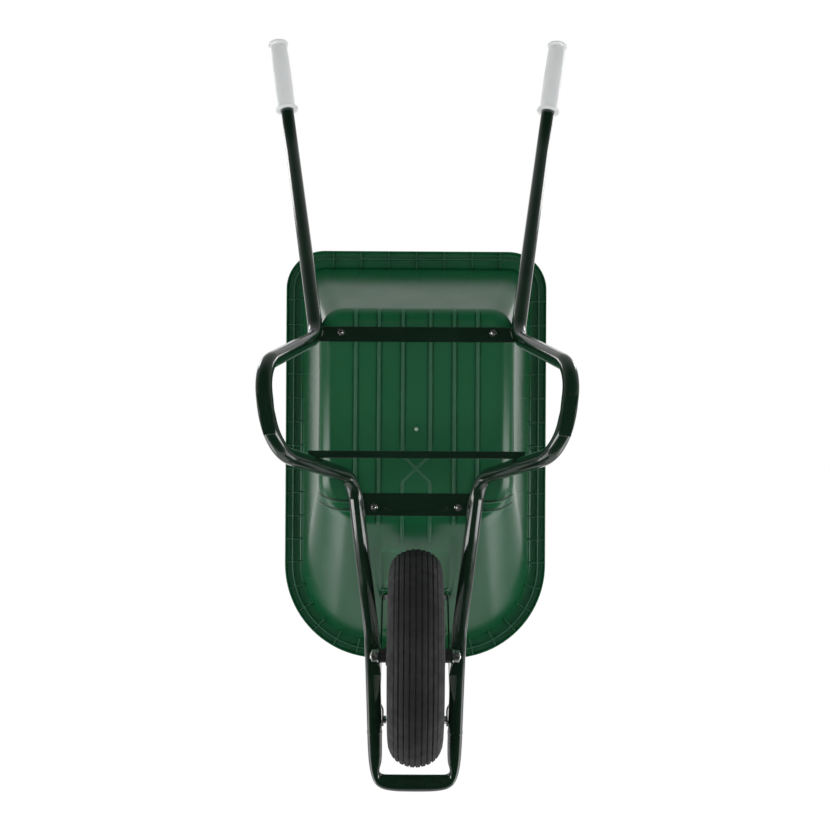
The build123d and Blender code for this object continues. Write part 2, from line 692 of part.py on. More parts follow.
# --- grips -------------------------------------------------------------------------------------------
def grip():
    """Plastic sleeve with a flange at each end, closed at the outer end."""
    inside = GRIP_LENGTH - GRIP_END_WALL
    bore_r = TUBE_R + RUNNING_GAP
    low = GRIP_FLANGE + GRIP_TAPERS[0]
    end = GRIP_LENGTH - GRIP_END_FLANGE
    high = end - GRIP_TAPERS[1]
    edges = [
        Line((bore_r, 0), (GRIP_FLANGE_R, 0)),
        Line((GRIP_FLANGE_R, 0), (GRIP_FLANGE_R, GRIP_FLANGE)),
        Line((GRIP_FLANGE_R, GRIP_FLANGE), (GRIP_R, low)),
        ThreePointArc((GRIP_R, low), (GRIP_R + GRIP_BULGE, GRIP_LENGTH / 2), (GRIP_R, high)),
        Line((GRIP_R, high), (GRIP_END_FLANGE_R, end)),
        Line((GRIP_END_FLANGE_R, end), (GRIP_END_FLANGE_R, GRIP_LENGTH)),
        Line((GRIP_END_FLANGE_R, GRIP_LENGTH), (0, GRIP_LENGTH)),
        Line((0, GRIP_LENGTH), (0, inside)),
        Line((0, inside), (bore_r, inside)),
        Line((bore_r, inside), (bore_r, 0)),
    ]
    sleeve = revolve(Plane.XZ * make_face(edges), axis=Axis.Z)
    rims = [e for e in sleeve.edges().filter_by(GeomType.CIRCLE) if e.radius > GRIP_R + GRIP_BULGE]
    sleeve = fillet(rims, GRIP_EDGE)
    along = unit_to(HANDLE_BEND, HANDLE_END)
    start = Vector(*HANDLE_END) - along * inside
    return Plane(start, z_dir=along) * sleeve


def rear_end_y():
    """Rearmost point of the grips' end discs, measured from the axle."""
    along = unit_to(HANDLE_BEND, HANDLE_END)
    tip = Vector(*HANDLE_END) + along * GRIP_END_WALL
    return tip.Y + GRIP_END_FLANGE_R * sqrt(1 - along.Y**2)


# --- output ------------------------------------------------------------------------------------------
def all_parts():
    """Every sub-part by name, drawn round the axle."""
    parts = {
        "nose_loop": nose_loop(),
        "rear_cross_member": rear_cross_member(),
        "front_cross_member": front_cross_member(),
        "leg_brace": leg_brace(),
        "front_stay": front_stay(),
        "stay_studs": stay_studs(),
        "stay_stud_nuts": stay_stud_nuts(),
        "stay_bolts": stay_bolts(),
        "stay_nuts": stay_nuts(),
        "tray": tray(),
        "tray_bolts": tray_bolts(),
        "tray_washers": tray_washers(),
        "tray_nuts": tray_nuts(),
        "axle": axle(),
        "axle_spacers": axle_spacers(),
        "axle_washers": axle_washers(),
        "axle_nuts": axle_nuts(),
        "tyre": tyre(),
        "inner_tube": inner_tube(),
        "left_rim_half": left_rim_half(),
        "right_rim_half": right_rim_half(),
        "rim_bolts": rim_bolts(),
        "rim_nuts": rim_nuts(),
        "hub_tube": hub_tube(),
        "valve_stem": valve_stem(),
        "valve_cap": valve_cap(),
    }
    pairs = {
        "frame_tube": side_tube, "foot_plate": foot_plate, "axle_bracket": axle_bracket,
        "grip": grip, "bush": bush,
    }
    for name, make in pairs.items():
        for side_name, side in SIDES.items():
            parts[f"{side_name}_{name}"] = on_side(make(), side)
    return parts


def export_all():
    front_end_y = NOSE_CORNER[1] - TUBE_R
    to_origin = Pos(0, -(rear_end_y() + front_end_y) / 2, 0)
    os.makedirs("parts", exist_ok=True)
    for name, shape in all_parts().items():
        export_step(to_origin * shape, f"parts/{name}.step")


export_all()
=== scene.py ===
import random
from math import atan2, cos, exp, hypot, pi, radians, sin, sqrt, tan

import bmesh
import bpy
from mathutils import Matrix, Vector
from mathutils.bvhtree import BVHTree


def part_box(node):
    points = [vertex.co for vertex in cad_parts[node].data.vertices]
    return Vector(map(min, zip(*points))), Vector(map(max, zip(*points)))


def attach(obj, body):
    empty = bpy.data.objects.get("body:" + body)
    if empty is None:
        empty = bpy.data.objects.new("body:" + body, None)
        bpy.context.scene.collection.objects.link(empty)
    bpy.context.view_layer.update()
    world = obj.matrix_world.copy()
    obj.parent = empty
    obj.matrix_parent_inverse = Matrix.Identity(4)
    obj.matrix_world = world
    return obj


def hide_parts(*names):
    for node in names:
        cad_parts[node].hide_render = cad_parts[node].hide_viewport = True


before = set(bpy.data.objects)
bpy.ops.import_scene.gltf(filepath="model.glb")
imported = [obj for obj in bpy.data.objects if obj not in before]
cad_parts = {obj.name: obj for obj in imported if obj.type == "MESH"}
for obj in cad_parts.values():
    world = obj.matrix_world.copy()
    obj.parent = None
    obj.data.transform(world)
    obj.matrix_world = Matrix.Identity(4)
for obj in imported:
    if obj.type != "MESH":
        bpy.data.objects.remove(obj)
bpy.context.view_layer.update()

# Places are drawn in millimetres, with Y measured from the wheel's axle and z from the ground, and
# spot() turns them into metres in the frame.  +X is the user's left, +Y the handles.
MM = 0.001
axle_low, axle_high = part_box("axle")
AXLE_Y = (axle_low.y + axle_high.y) / 2
AXLE_Z = (axle_low.z + axle_high.z) / 2 / MM
SIDES = {"left": 1, "right": -1}
UP = Vector((0, 0, 1))

# --- driving dimensions ------------------------------------------------------------------------------
TUBE_R = 14.0
RAIL_Z = 275.0
FOOT_TUBE_Z = 18.0
HANDLE_END = (303.0, 1234.0, 608.0)
HANDLE_BEND = (271.0, 1026.0, 568.0)
REAR_BEND = (188.0, 577.0, 284.0)
HEEL = (255.0, 510.0, FOOT_TUBE_Z)
SOLE = (247.0, 436.0, FOOT_TUBE_Z)
TOE = (232.0, 369.0, FOOT_TUBE_Z)
KNEE = (117.0, 314.0, RAIL_Z)
RAIL_KINK = (81.3, 22.0, RAIL_Z)
NOSE_CORNER = (71.6, -257.0, RAIL_Z)
BEND_RADII = [250.0, 80.0, 60.0, 150.0, 70.0, 60.0, 400.0]
SLEEVE_Y = -163.0

TRAY_WALL = 3.5
FLOOR_Z = 295.0
RIM_Z = 590.0
FLOOR_HALF_WIDTH = 181.0
FLOOR_REAR_Y = 626.0
FLOOR_FRONT_Y = 231.5
MOUTH_HALF_WIDTH = 245.0
MOUTH_REAR_Y = 749.5
MOUTH_FRONT_Y = -54.5
FLOOR_REAR_RADIUS = 46.0
FLOOR_FRONT_RADIUS = 95.0
MOUTH_REAR_RADIUS = 48.0
MOUTH_FRONT_RADIUS = 167.0
FLOOR_EDGE_RADIUS = 32.0
RIM_WIDTH = 34.0
RIM_LIP = 13.0
FRONT_PANEL = 70.0
PANEL_EDGE = 2.5
PANEL_DEPTH = 3.0
PANEL_Z = (318.0, 560.0)
WALL_TOP_Z = 580.5

# The marks of the mould on the floor: ribs, of which the first pair crosses over, two curved steps on
# each side, a ledge and two ticks on the front wall, and the gate.
RIB_X = [26.0, 71.0, 115.0]
RIB_RISE = 2.5
RIB_UNDER_STRAP = 2.0
RIB_PROFILE = [
    (-3.9, -0.3), (-3.4, 0.0), (-2.8, 0.78), (-1.6, 0.95), (0.0, 1.0),
    (1.6, 0.95), (2.8, 0.78), (3.4, 0.0), (3.9, -0.3),
]
RIB_STEP = 4.0
RIB_PAST_REAR = 9.0
RIB_PAST_FRONT = 8.0
CROSSED_RIB_FURTHER = 42.0
CROSS_Y = 330.0
CROSS_HALF = 26.0
STRAPS = [(582.5, 14.0), (262.5, 21.0)]
STEP_PLAN = [(186.0, 281.5), (176.0, 277.0), (159.0, 271.7), (142.0, 269.5), (118.0, 268.8)]
STEP_GAP = 16.5
STEP_FORWARD = 3.4
LEDGE_Y = 76.5
TICK_X = 3.8
TICK_Y = 179.4
TICK_HALF = 1.6
GATE_Y = 404.5

# The channel of the turned-over rim.
RIM_RIB_OUT = 17.0
RIM_RIB = [(-2.0, 0), (-1.8, 7.0), (-1.4, 8.6), (-0.7, 9.2), (0.7, 9.2), (1.4, 8.6), (1.8, 7.0), (2.0, 0)]
WEB_PITCH = 53.0
WEB_CLOSING = 0.92
FRONT_WEB_X = (-50.0, 0.0, 50.0)
REAR_WEB_PITCH = 59.5
SIDE_WEB_START = 678.0

WHEEL_R = 190.0
TYRE_HALF_WIDTH = 48.5
TREAD_HALF_WIDTH = 36.0
TREAD_EDGE_R = 177.0
BELLY_R = 145.5
RIM_FLANGE_R = 112.0
BEAD_R = 101.5
BEAD_HALF_WIDTH = 36.0
CARCASS = 8.0
GROOVE_X = [0.0, 9.9, 19.4, 28.4, 36.1, 42.6]
GROOVE_DEPTH = 2.2
GROOVE_HALF_WIDTH = 1.7


def spot(x, y, z):
    """A point drawn in millimetres round the axle, in metres in the frame."""
    return Vector((x * MM, y * MM + AXLE_Y, z * MM))


def mirrored(point, side):
    return (point[0] * side, point[1], point[2])


def mix(low, high, share):
    return low + (high - low) * share


def smooth_step(value, low, high):
    share = min(1.0, max(0.0, (value - low) / (high - low)))
    return share * share * (3 - 2 * share)


def in_metres(profile):
    return [(a * MM, r * MM) for a, r in profile]


def bell(distance, width):
    return exp(-((distance / width) ** 2))


def placed(name, data):
    """A new object in the scene."""
    obj = bpy.data.objects.new(name, data)
    bpy.context.scene.collection.objects.link(obj)
    return obj


# --- mesh building -----------------------------------------------------------------------------------
# The way in which a turned surface or a hexagon starts, and a radius in metres that is as good as none.
TURNING_START = (0.31, 0.22, 0.93)
HEXAGON_START = (0.12, 0.93, 0.31)
TINY_R = 1e-5


class Shape:
    """Collects closed surfaces, point by point, for one piece."""

    def __init__(self):
        self.verts = []
        self.faces = []

    def rings(self, rings, closed=False):
        """Skins a row of equal rings of points; the row itself may close, as on a torus."""
        start, count = len(self.verts), len(rings[0])
        for ring in rings:
            self.verts.extend(Vector(p) for p in ring)
        rows = len(rings) if closed else len(rings) - 1
        for i in range(rows):
            a = start + i * count
            b = start + (i + 1) % len(rings) * count
            for j in range(count):
                k = (j + 1) % count
                self.faces.append((a + j, a + k, b + k, b + j))
        if not closed:
            last = start + (len(rings) - 1) * count
            self.faces.append(tuple(range(start + count - 1, start - 1, -1)))
            self.faces.append(tuple(range(last, last + count)))

    def piece(self, name, material, slot, replaces=(), body="frame", sharp=35.0):
        """Makes the collected surfaces into an object that rides on a body."""
        mesh = bpy.data.meshes.new(name)
        mesh.from_pydata(self.verts, [], self.faces)
        mesh.validate()
        obj = placed(name, mesh)
        outward(mesh)
        mesh.shade_smooth()
        mesh.set_sharp_from_angle(angle=radians(sharp))
        mesh.materials.append(material)
        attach(obj, body)
        if replaces:
            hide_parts(*replaces)


def outward(mesh):
    """Turns every closed surface of a mesh so that its faces point out."""
    shell = bmesh.new()
    shell.from_mesh(mesh)
    bmesh.ops.recalc_face_normals(shell, faces=shell.faces)
    shell.to_mesh(mesh)
    shell.free()


def across(direction, hint):
    """Two unit vectors square to a direction; the second is as near as it can be to hint."""
    up = (hint - direction * hint.dot(direction)).normalized()
    return direction.cross(up), up


def tangents(points, closed=False):
    count = len(points)
    if closed:
        return [(points[(i + 1) % count] - points[i - 1]).normalized() for i in range(count)]
    return [(points[min(i + 1, count - 1)] - points[max(i - 1, 0)]).normalized() for i in range(count)]


def swept(shape, points, ups, section, closed=False):
    """Sweeps a section along points; section(i) gives its (side, up) offsets in metres."""
    rings = []
    for i, (point, tangent) in enumerate(zip(points, tangents(points, closed))):
        side, up = across(tangent, ups[i])
        rings.append([point + side * a + up * b for a, b in section(i)])
    shape.rings(rings, closed=closed)


def carried_frames(points, hint):
    """Up vectors carried along a path without twist."""
    ups, up = [], hint
    for tangent in tangents(points):
        up = across(tangent, up)[1]
        ups.append(up)
    return ups


def ellipse(half_width, half_height, count=40):
    return [
        (half_width * cos(2 * pi * k / count), half_height * sin(2 * pi * k / count)) for k in range(count)
    ]


def rounded_path(corners, radii, turn=radians(4), run=18 * MM):
    """Points along straight runs joined by arcs, and how far round a bend each point is (0 on a run)."""
    corners = [Vector(c) for c in corners]
    points, bend = [corners[0]], [0.0]
    for before, corner, after, radius in zip(corners, corners[1:], corners[2:], radii):
        back, ahead = (before - corner).normalized(), (after - corner).normalized()
        angle = pi - back.angle(ahead)
        reach = radius * tan(angle / 2)
        start, inward = corner + back * reach, (back + ahead).normalized()
        centre = corner + inward * (radius / cos(angle / 2))
        straight(points, bend, start, run)
        spoke, axis = start - centre, back.cross(ahead).normalized()
        steps = max(4, int(angle / turn) + 1)
        for k in range(steps + 1):
            share = k / steps
            points.append(centre + Matrix.Rotation(-angle * share, 3, axis) @ spoke)
            bend.append(sin(pi * share) * angle)
    straight(points, bend, corners[-1], run)
    points.append(corners[-1])
    bend.append(0.0)
    return points, bend


def straight(points, bend, end, run):
    """Adds evenly spaced points on the way to end, without end itself."""
    start = points[-1]
    steps = max(1, int((end - start).length / run))
    for k in range(1, steps):
        points.append(start.lerp(end, k / steps))
        bend.append(0.0)


def spokes(axis, hint, count, turn=0.0):
    """Unit vectors all round an axis."""
    side, up = across(axis, Vector(hint))
    angles = [2 * pi * k / count + turn for k in range(count)]
    return [side * cos(angle) + up * sin(angle) for angle in angles]


def lathe(shape, profile, centre, axis, count):
    """Turns a closed profile of (along, radius) points round an axis: a ring."""
    axis = Vector(axis).normalized()
    around = spokes(axis, TURNING_START, count)
    shape.rings([[centre + axis * a + spoke * r for a, r in profile] for spoke in around], closed=True)


def lathe_solid(shape, profile, centre, axis, count, start=TURNING_START):
    """Turns an open profile whose two ends lie on the axis: a solid knob."""
    axis = Vector(axis).normalized()
    around = spokes(axis, start, count)
    shape.rings([[centre + axis * a + spoke * max(r, TINY_R) for spoke in around] for a, r in profile])


# --- materials ---------------------------------------------------------------------------------------
# Painted shade beside a floor rib, in metres: where it fades out sideways, above the floor, and past the
# crossing.
RIB_SHADE_REACH = (0.0038, 0.0095)
RIB_SHADE_TOP_Z = (0.300, 0.306)
RIB_SHADE_FADE = 0.03


class Nodes:
    """Short ways to add and link the nodes of a shader tree."""

    def __init__(self, tree):
        self.tree = tree

    def add(self, kind, inputs=None, **settings):
        """A new node; each of its inputs takes a value or another node's output."""
        node = self.tree.nodes.new(kind)
        for name, value in settings.items():
            setattr(node, name, value)
        for key, value in (inputs or {}).items():
            if isinstance(value, bpy.types.NodeSocket):
                self.link(value, node.inputs[key])
            else:
                node.inputs[key].default_value = value
        return node

    def link(self, source, target):
        self.tree.links.new(source, target)


class Finish(Nodes):
    """A material on the Principled shader, with short ways to add textures."""

    def __init__(self, name, color, roughness, metallic=0.0):
        self.material = bpy.data.materials.new(name)
        self.material.use_nodes = True
        super().__init__(self.material.node_tree)
        self.shader = self.tree.nodes["Principled BSDF"]
        self.color = color
        self.set(**{"Base Color": (*color, 1), "Roughness": roughness, "Metallic": metallic})
        self.place = self.add("ShaderNodeTexCoord").outputs["Object"]

    def set(self, **sockets):
        for name, value in sockets.items():
            self.shader.inputs[name].default_value = value

    def noise(self, scale, detail=3.0, roughness=0.5, stretch=None):
        """A noise texture; scale is in features per metre."""
        inputs = {"Scale": scale, "Detail": detail, "Roughness": roughness}
        inputs["Vector"] = self.stretched(stretch)
        return self.add("ShaderNodeTexNoise", inputs).outputs["Fac"]

    def stretched(self, stretch):
        if stretch is None:
            return self.place
        return self.add("ShaderNodeMapping", {"Vector": self.place, "Scale": stretch}).outputs["Vector"]

    def ramp(self, source, low, high, low_value=0.0, high_value=1.0):
        """Maps source from low..high to two values, clamped."""
        limits = {"From Min": low, "From Max": high, "To Min": low_value, "To Max": high_value}
        settings = {"clamp": True, "interpolation_type": "SMOOTHSTEP"}
        return self.add("ShaderNodeMapRange", {"Value": source, **limits}, **settings).outputs["Result"]

    def times(self, a, b):
        return self.add("ShaderNodeMath", {0: a, 1: b}, operation="MULTIPLY").outputs["Value"]

    def along(self, axis):
        """The coordinate along an axis, in metres."""
        return self.add("ShaderNodeSeparateXYZ", {"Vector": self.place}).outputs[axis]

    def distance_from(self, source, value):
        """How far source is from a value, always positive."""
        gap = self.add("ShaderNodeMath", {0: source, 1: value}, operation="SUBTRACT").outputs["Value"]
        return self.add("ShaderNodeMath", {0: gap}, operation="ABSOLUTE").outputs["Value"]

    def tint(self, mask, color):
        """Blends another colour over the base colour where mask is 1."""
        base = self.shader.inputs["Base Color"]
        before = base.links[0].from_socket if base.is_linked else (*self.color, 1)
        node = self.add("ShaderNodeMix", {"Factor": mask, "A": before, "B": (*color, 1)}, data_type="RGBA")
        self.link(node.outputs["Result"], base)

    def clouds(self, noise, span, amount, color):
        """Tints with patches of noise, which fade in over a span of the noise's value."""
        self.tint(self.patches(noise, span, 0.0, amount), color)

    def patches(self, noise, span, low_value=0.0, high_value=1.0):
        """A mask of patches of noise."""
        return self.ramp(self.noise(*noise), *span, low_value, high_value)

    def roughen(self, noise, low, high):
        self.link(self.patches(noise, (0.3, 0.7), low, high), self.shader.inputs["Roughness"])

    def bump(self, noise, depth, strength):
        """Adds relief from noise; depth is in metres."""
        normal = self.shader.inputs["Normal"]
        inputs = {"Height": self.noise(*noise), "Distance": depth, "Strength": strength}
        if normal.is_linked:
            inputs["Normal"] = normal.links[0].from_socket
        self.link(self.add("ShaderNodeBump", inputs).outputs["Normal"], normal)


def green_enamel():
    """Very dark green gloss paint on steel: orange peel, a little dust and a few small chips."""
    f = Finish("green_enamel", (0.0044, 0.0162, 0.0086), 0.16)
    f.set(**{"Coat Weight": 0.7, "Coat Roughness": 0.05, "Specular IOR Level": 0.45})
    f.clouds((9, 4), (0.42, 0.7), 0.55, (0.0075, 0.0250, 0.0135))
    dust = f.times(f.patches((160, 6, 0.7), (0.52, 0.74)), f.patches((13, 3), (0.5, 0.72)))
    f.tint(f.times(dust, f.ramp(f.along("Z"), 0.7, 0.0, 0.02, 0.10)), (0.05, 0.058, 0.048))
    chips = f.times(f.patches((170, 5, 0.6), (0.72, 0.74)), f.ramp(f.along("Z"), 0.09, 0.0, 0.0, 0.5))
    f.tint(chips, (0.10, 0.10, 0.095))
    f.roughen((26, 5, 0.6), 0.12, 0.24)
    f.bump((330, 2, 0.4), 0.00005, 0.5)
    f.bump((38, 2, 0.4), 0.0004, 0.25)
    return f.material


def rib_painted_shade(f):
    """Painted shade: dark stripes beside the floor ribs, where their flanks shade the floor, and beside the
    first pair only behind its crossing.
    """
    x, y, z = (f.along(axis) for axis in "XYZ")
    from_middle = f.distance_from(x, 0.0)
    floor_only = f.ramp(z, *RIB_SHADE_TOP_Z, 1.0, 0.0)
    uneven = f.patches((30, 3), (0.3, 0.6), 0.45, 0.8)
    for rib_x in RIB_X:
        beside = f.ramp(f.distance_from(from_middle, rib_x * MM), *RIB_SHADE_REACH, 1.0, 0.0)
        if rib_x == RIB_X[0]:
            crossing_y = AXLE_Y + (CROSS_Y + CROSS_HALF) * MM
            beside = f.times(beside, f.ramp(y, crossing_y, crossing_y + RIB_SHADE_FADE))
        # the dark green of the painted shade beside each rib, in uneven strength
        f.tint(f.times(f.times(beside, floor_only), uneven), (0.0022, 0.030, 0.0115))


def green_plastic():
    """Satin moulded polypropylene: fine grain, pale scuffs, and painted shade beside the floor ribs."""
    f = Finish("green_plastic", (0.0080, 0.088, 0.033), 0.24)
    f.set(**{"Specular IOR Level": 0.5, "Subsurface Weight": 0.03, "Subsurface Scale": 0.004})
    f.set(**{"Subsurface Radius": (0.2, 1.0, 0.4)})
    f.clouds((4, 3, 0.5, (1, 0.6, 1)), (0.35, 0.7), 0.5, (0.0100, 0.100, 0.037))
    f.clouds((45, 3, 0.5), (0.5, 0.8), 0.25, (0.006, 0.076, 0.026))
    scuffs = f.times(f.patches((90, 5, 0.7, (1, 0.12, 1)), (0.64, 0.76)), f.patches((7, 2), (0.52, 0.7)))
    f.tint(f.times(scuffs, f.patches((16, 2), (0.4, 0.7), 0.1, 0.5)), (0.03, 0.14, 0.07))
    # painted shade: dark stripes beside the floor ribs
    rib_painted_shade(f)
    f.roughen((12, 2, 0.4), 0.22, 0.27)
    f.bump((1500, 2, 0.5), 0.00003, 0.4)
    return f.material


def crease_shade_plastic():
    """Very dark tray plastic, laid as painted shade in the inner corners of the curved steps."""
    f = Finish("crease_shade_plastic", (0.0022, 0.026, 0.0100), 0.45)
    f.clouds((90, 4), (0.45, 0.75), 0.6, (0.004, 0.040, 0.016))
    f.roughen((110, 3), 0.4, 0.55)
    return f.material


def highlight_plastic():
    """The tray's plastic on the ribs and rim webs: the same green, paler and drier; the paleness is a
    painted highlight along their crowns.
    """
    f = Finish("highlight_plastic", (0.022, 0.112, 0.053), 0.34)
    f.clouds((60, 4, 0.6), (0.4, 0.7), 0.7, (0.031, 0.124, 0.064))
    f.roughen((150, 4, 0.6), 0.3, 0.42)
    f.bump((1200, 3, 0.6), 0.00005, 0.5)
    return f.material


def torn_plastic():
    """Stress-whitened plastic where the moulding sprue was broken off."""
    f = Finish("torn_plastic", (0.30, 0.42, 0.34), 0.6)
    f.clouds((900, 3), (0.4, 0.7), 0.7, (0.45, 0.55, 0.48))
    f.bump((1500, 3, 0.6), 0.0002, 0.6)
    return f.material


def bright_zinc():
    """Zinc plate: fine brushed grain with dull, slightly yellow clouds."""
    f = Finish("bright_zinc", (0.88, 0.89, 0.89), 0.24, 1.0)
    f.clouds((120, 4), (0.45, 0.75), 0.5, (0.66, 0.64, 0.58))
    f.clouds((420, 5, 0.7), (0.62, 0.75), 0.3, (0.40, 0.39, 0.37))
    f.roughen((260, 5, 0.6), 0.17, 0.34)
    f.bump((1400, 3, 0.6, (1, 1, 0.2)), 0.00004, 0.5)
    return f.material


def tyre_rubber():
    """Dark grey moulded rubber with a bloom of dust in its grooves and scuffed ribs."""
    f = Finish("tyre_rubber", (0.0140, 0.0144, 0.0150), 0.66)
    f.set(**{"Specular IOR Level": 0.35})
    f.clouds((24, 5, 0.6), (0.4, 0.75), 0.6, (0.026, 0.0257, 0.0254))
    specks = f.times(f.patches((300, 5, 0.7), (0.6, 0.72)), f.patches((14, 3), (0.45, 0.68)))
    f.tint(specks, (0.042, 0.041, 0.039))
    f.roughen((60, 5, 0.65), 0.56, 0.8)
    f.bump((1100, 3, 0.6), 0.00012, 0.6)
    f.bump((120, 3, 0.5), 0.0003, 0.25)
    return f.material


def soft_rubber():
    f = Finish("soft_rubber", (0.020, 0.020, 0.021), 0.55)
    f.clouds((80, 4), (0.45, 0.7), 0.5, (0.034, 0.033, 0.032))
    f.roughen((150, 4), 0.45, 0.7)
    f.bump((900, 3), 0.00008, 0.5)
    return f.material


def grip_plastic():
    """Soft white plastic, slightly translucent, with faint flow lines and grime in its low spots."""
    f = Finish("grip_plastic", (0.87, 0.89, 0.885), 0.38)
    f.set(**{"Subsurface Weight": 0.35, "Subsurface Scale": 0.006, "Subsurface Radius": (1.0, 0.95, 0.9)})
    f.clouds((30, 4, 0.5, (1, 0.3, 1)), (0.4, 0.75), 0.4, (0.78, 0.81, 0.81))
    grime = f.times(f.patches((130, 5, 0.65), (0.55, 0.75)), f.patches((20, 3), (0.5, 0.7)))
    f.tint(f.times(grime, f.patches((9, 2), (0.3, 0.7), 0.3, 0.8)), (0.50, 0.50, 0.47))
    f.roughen((70, 4, 0.6), 0.3, 0.48)
    f.bump((800, 3), 0.00005, 0.5)
    f.bump((55, 2, 0.4), 0.0005, 0.2)
    return f.material


def grey_enamel():
    """Pale stoved enamel on the pressed rim, with dust and small rust marks."""
    f = Finish("grey_enamel", (0.62, 0.63, 0.61), 0.33)
    f.set(**{"Coat Weight": 0.3, "Coat Roughness": 0.12})
    f.clouds((18, 4), (0.42, 0.75), 0.6, (0.50, 0.50, 0.47))
    f.clouds((230, 6, 0.7), (0.71, 0.75), 0.8, (0.17, 0.085, 0.04))
    f.roughen((50, 4), 0.26, 0.45)
    f.bump((420, 2), 0.00006, 0.6)
    return f.material


def black_enamel():
    f = Finish("black_enamel", (0.012, 0.012, 0.012), 0.35)
    f.clouds((70, 5), (0.45, 0.75), 0.5, (0.03, 0.029, 0.027))
    f.roughen((90, 4), 0.28, 0.5)
    f.bump((500, 2), 0.00006, 0.6)
    return f.material


def black_nylon():
    f = Finish("black_nylon", (0.018, 0.018, 0.018), 0.45)
    f.clouds((110, 5), (0.45, 0.75), 0.5, (0.03, 0.03, 0.03))
    f.roughen((120, 4), 0.38, 0.58)
    f.bump((1300, 2), 0.00005, 0.5)
    return f.material


ENAMEL = green_enamel()
PLASTIC = green_plastic()
ZINC = bright_zinc()
TYRE = tyre_rubber()
RUBBER = soft_rubber()
GRIP = grip_plastic()
RIM_PAINT = grey_enamel()
BLACK_PAINT = black_enamel()
NYLON = black_nylon()
TORN = torn_plastic()
PALE_HIGHLIGHT = highlight_plastic()
CREASE_SHADE = crease_shade_plastic()

NODE_FINISHES = {
    ENAMEL: [
        "rear_cross_member", "front_cross_member", "leg_brace", "left_foot_plate", "right_foot_plate",
        "left_axle_bracket", "right_axle_bracket", "front_stay",
    ],
    ZINC: ["axle", "axle_washers", "tray_washers"],
    BLACK_PAINT: ["axle_spacers", "hub_tube"],
    RUBBER: ["inner_tube", "valve_stem"],
    RIM_PAINT: ["left_rim_half", "right_rim_half"],
    NYLON: ["left_bush", "right_bush", "valve_cap"],
}


def finish_cad_nodes():
    for material, names in NODE_FINISHES.items():
        for name in names:
            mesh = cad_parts[name].data
            mesh.materials.clear()
            mesh.materials.append(material)


# --- tray --------------------------------------------------------------------------------------------
FLOOR_RING_STEPS = (10.0, 3.0)
EDGE_STEPS = 12
WALL_STEPS = 15
INNER_WALL_Z = [340.0, 400.0, 470.0, 540.0, 577.0]
PANEL_FADE = 60.0
PANEL_LEAN = 0.9


def at_height(z, floor_value, mouth_value):
    """A measure of the tray's plan at a height between the floor and the mouth."""
    return mix(floor_value, mouth_value, (z - FLOOR_Z) / (RIM_Z - FLOOR_Z))


def front_y(z):
    return at_height(z, FLOOR_FRONT_Y, MOUTH_FRONT_Y)


def plan_ring(half_width, rear, front, rear_radius, front_radius):
    """Points round a rounded rectangle in plan, each with its outward direction."""
    panel = [0, 12, 24, 36, 48, 58, FRONT_PANEL - PANEL_EDGE, FRONT_PANEL]
    ring = [(x, front, 0.0, -1.0) for x in [-x for x in reversed(panel[1:])] + panel]

    def corner(cx, cy, radius, start, steps):
        for k in range(steps + 1):
            angle = start + pi / 2 * k / steps
            ring.append((cx + radius * cos(angle), cy + radius * sin(angle), cos(angle), sin(angle)))

    def run(x0, y0, x1, y1, nx, ny, steps):
        for k in range(1, steps):
            ring.append((mix(x0, x1, k / steps), mix(y0, y1, k / steps), nx, ny))

    fx, rx = half_width - front_radius, half_width - rear_radius
    fy, ry = front + front_radius, rear - rear_radius
    corner(fx, fy, front_radius, -pi / 2, 24)
    run(half_width, fy, half_width, ry, 1, 0, 16)
    corner(rx, ry, rear_radius, 0, 16)
    run(rx, rear, -rx, rear, 0, 1, 14)
    corner(-rx, ry, rear_radius, pi / 2, 16)
    run(-half_width, ry, -half_width, fy, -1, 0, 16)
    corner(-fx, fy, front_radius, pi, 24)
    return ring


def wall_ring(z):
    half_width = at_height(z, FLOOR_HALF_WIDTH, MOUTH_HALF_WIDTH)
    rear = at_height(z, FLOOR_REAR_Y, MOUTH_REAR_Y)
    rear_radius = at_height(z, FLOOR_REAR_RADIUS, MOUTH_REAR_RADIUS)
    front_radius = at_height(z, FLOOR_FRONT_RADIUS, MOUTH_FRONT_RADIUS)
    return plan_ring(half_width, rear, front_y(z), rear_radius, front_radius)


def wall_directions():
    """For each point of the ring: where floor and wall would meet unrounded, the way out and the way up."""
    low, high = wall_ring(FLOOR_Z), wall_ring(RIM_Z)
    rows = []
    for (x, y, nx, ny), (hx, hy, _, _) in zip(low, high):
        corner = Vector((x, y, FLOOR_Z))
        way_up = (Vector((hx, hy, RIM_Z)) - corner).normalized()
        rows.append((corner, Vector((nx, ny, 0)), way_up))
    return rows


def rim_ring(grow, z):
    ring = plan_ring(
        MOUTH_HALF_WIDTH + grow, MOUTH_REAR_Y + grow, MOUTH_FRONT_Y - grow,
        MOUTH_REAR_RADIUS + grow, MOUTH_FRONT_RADIUS + grow,
    )
    return [Vector((x, y, z)) for x, y, _, _ in ring]


def floor_and_wall(inset, wall_heights):
    """Rings of the tray's outer face, or of its inner face when it is set in, from floor to rim."""
    radius = FLOOR_EDGE_RADIUS - inset
    arcs, walls = [], []
    for corner, out, way_up in wall_directions():
        turn = out.angle(way_up)
        normal = Vector((out.x * way_up.z, out.y * way_up.z, -hypot(way_up.x, way_up.y))).normalized()
        reach = FLOOR_EDGE_RADIUS * tan(turn / 2)
        centre = corner - out * reach + UP * FLOOR_EDGE_RADIUS
        arcs.append((centre, out, turn))
        walls.append((corner, way_up, normal))
    rings = []
    for step in FLOOR_RING_STEPS:
        rings.append([c - out * step - UP * radius for c, out, _ in arcs])
    for k in range(EDGE_STEPS + 1):
        ring = []
        for centre, out, turn in arcs:
            angle = turn * k / EDGE_STEPS
            ring.append(centre + out * (radius * sin(angle)) - UP * (radius * cos(angle)))
        rings.append(ring)
    for z in wall_heights:
        rings.append([c + up * ((z - FLOOR_Z) / up.z) - normal * inset for c, up, normal in walls])
    return rings


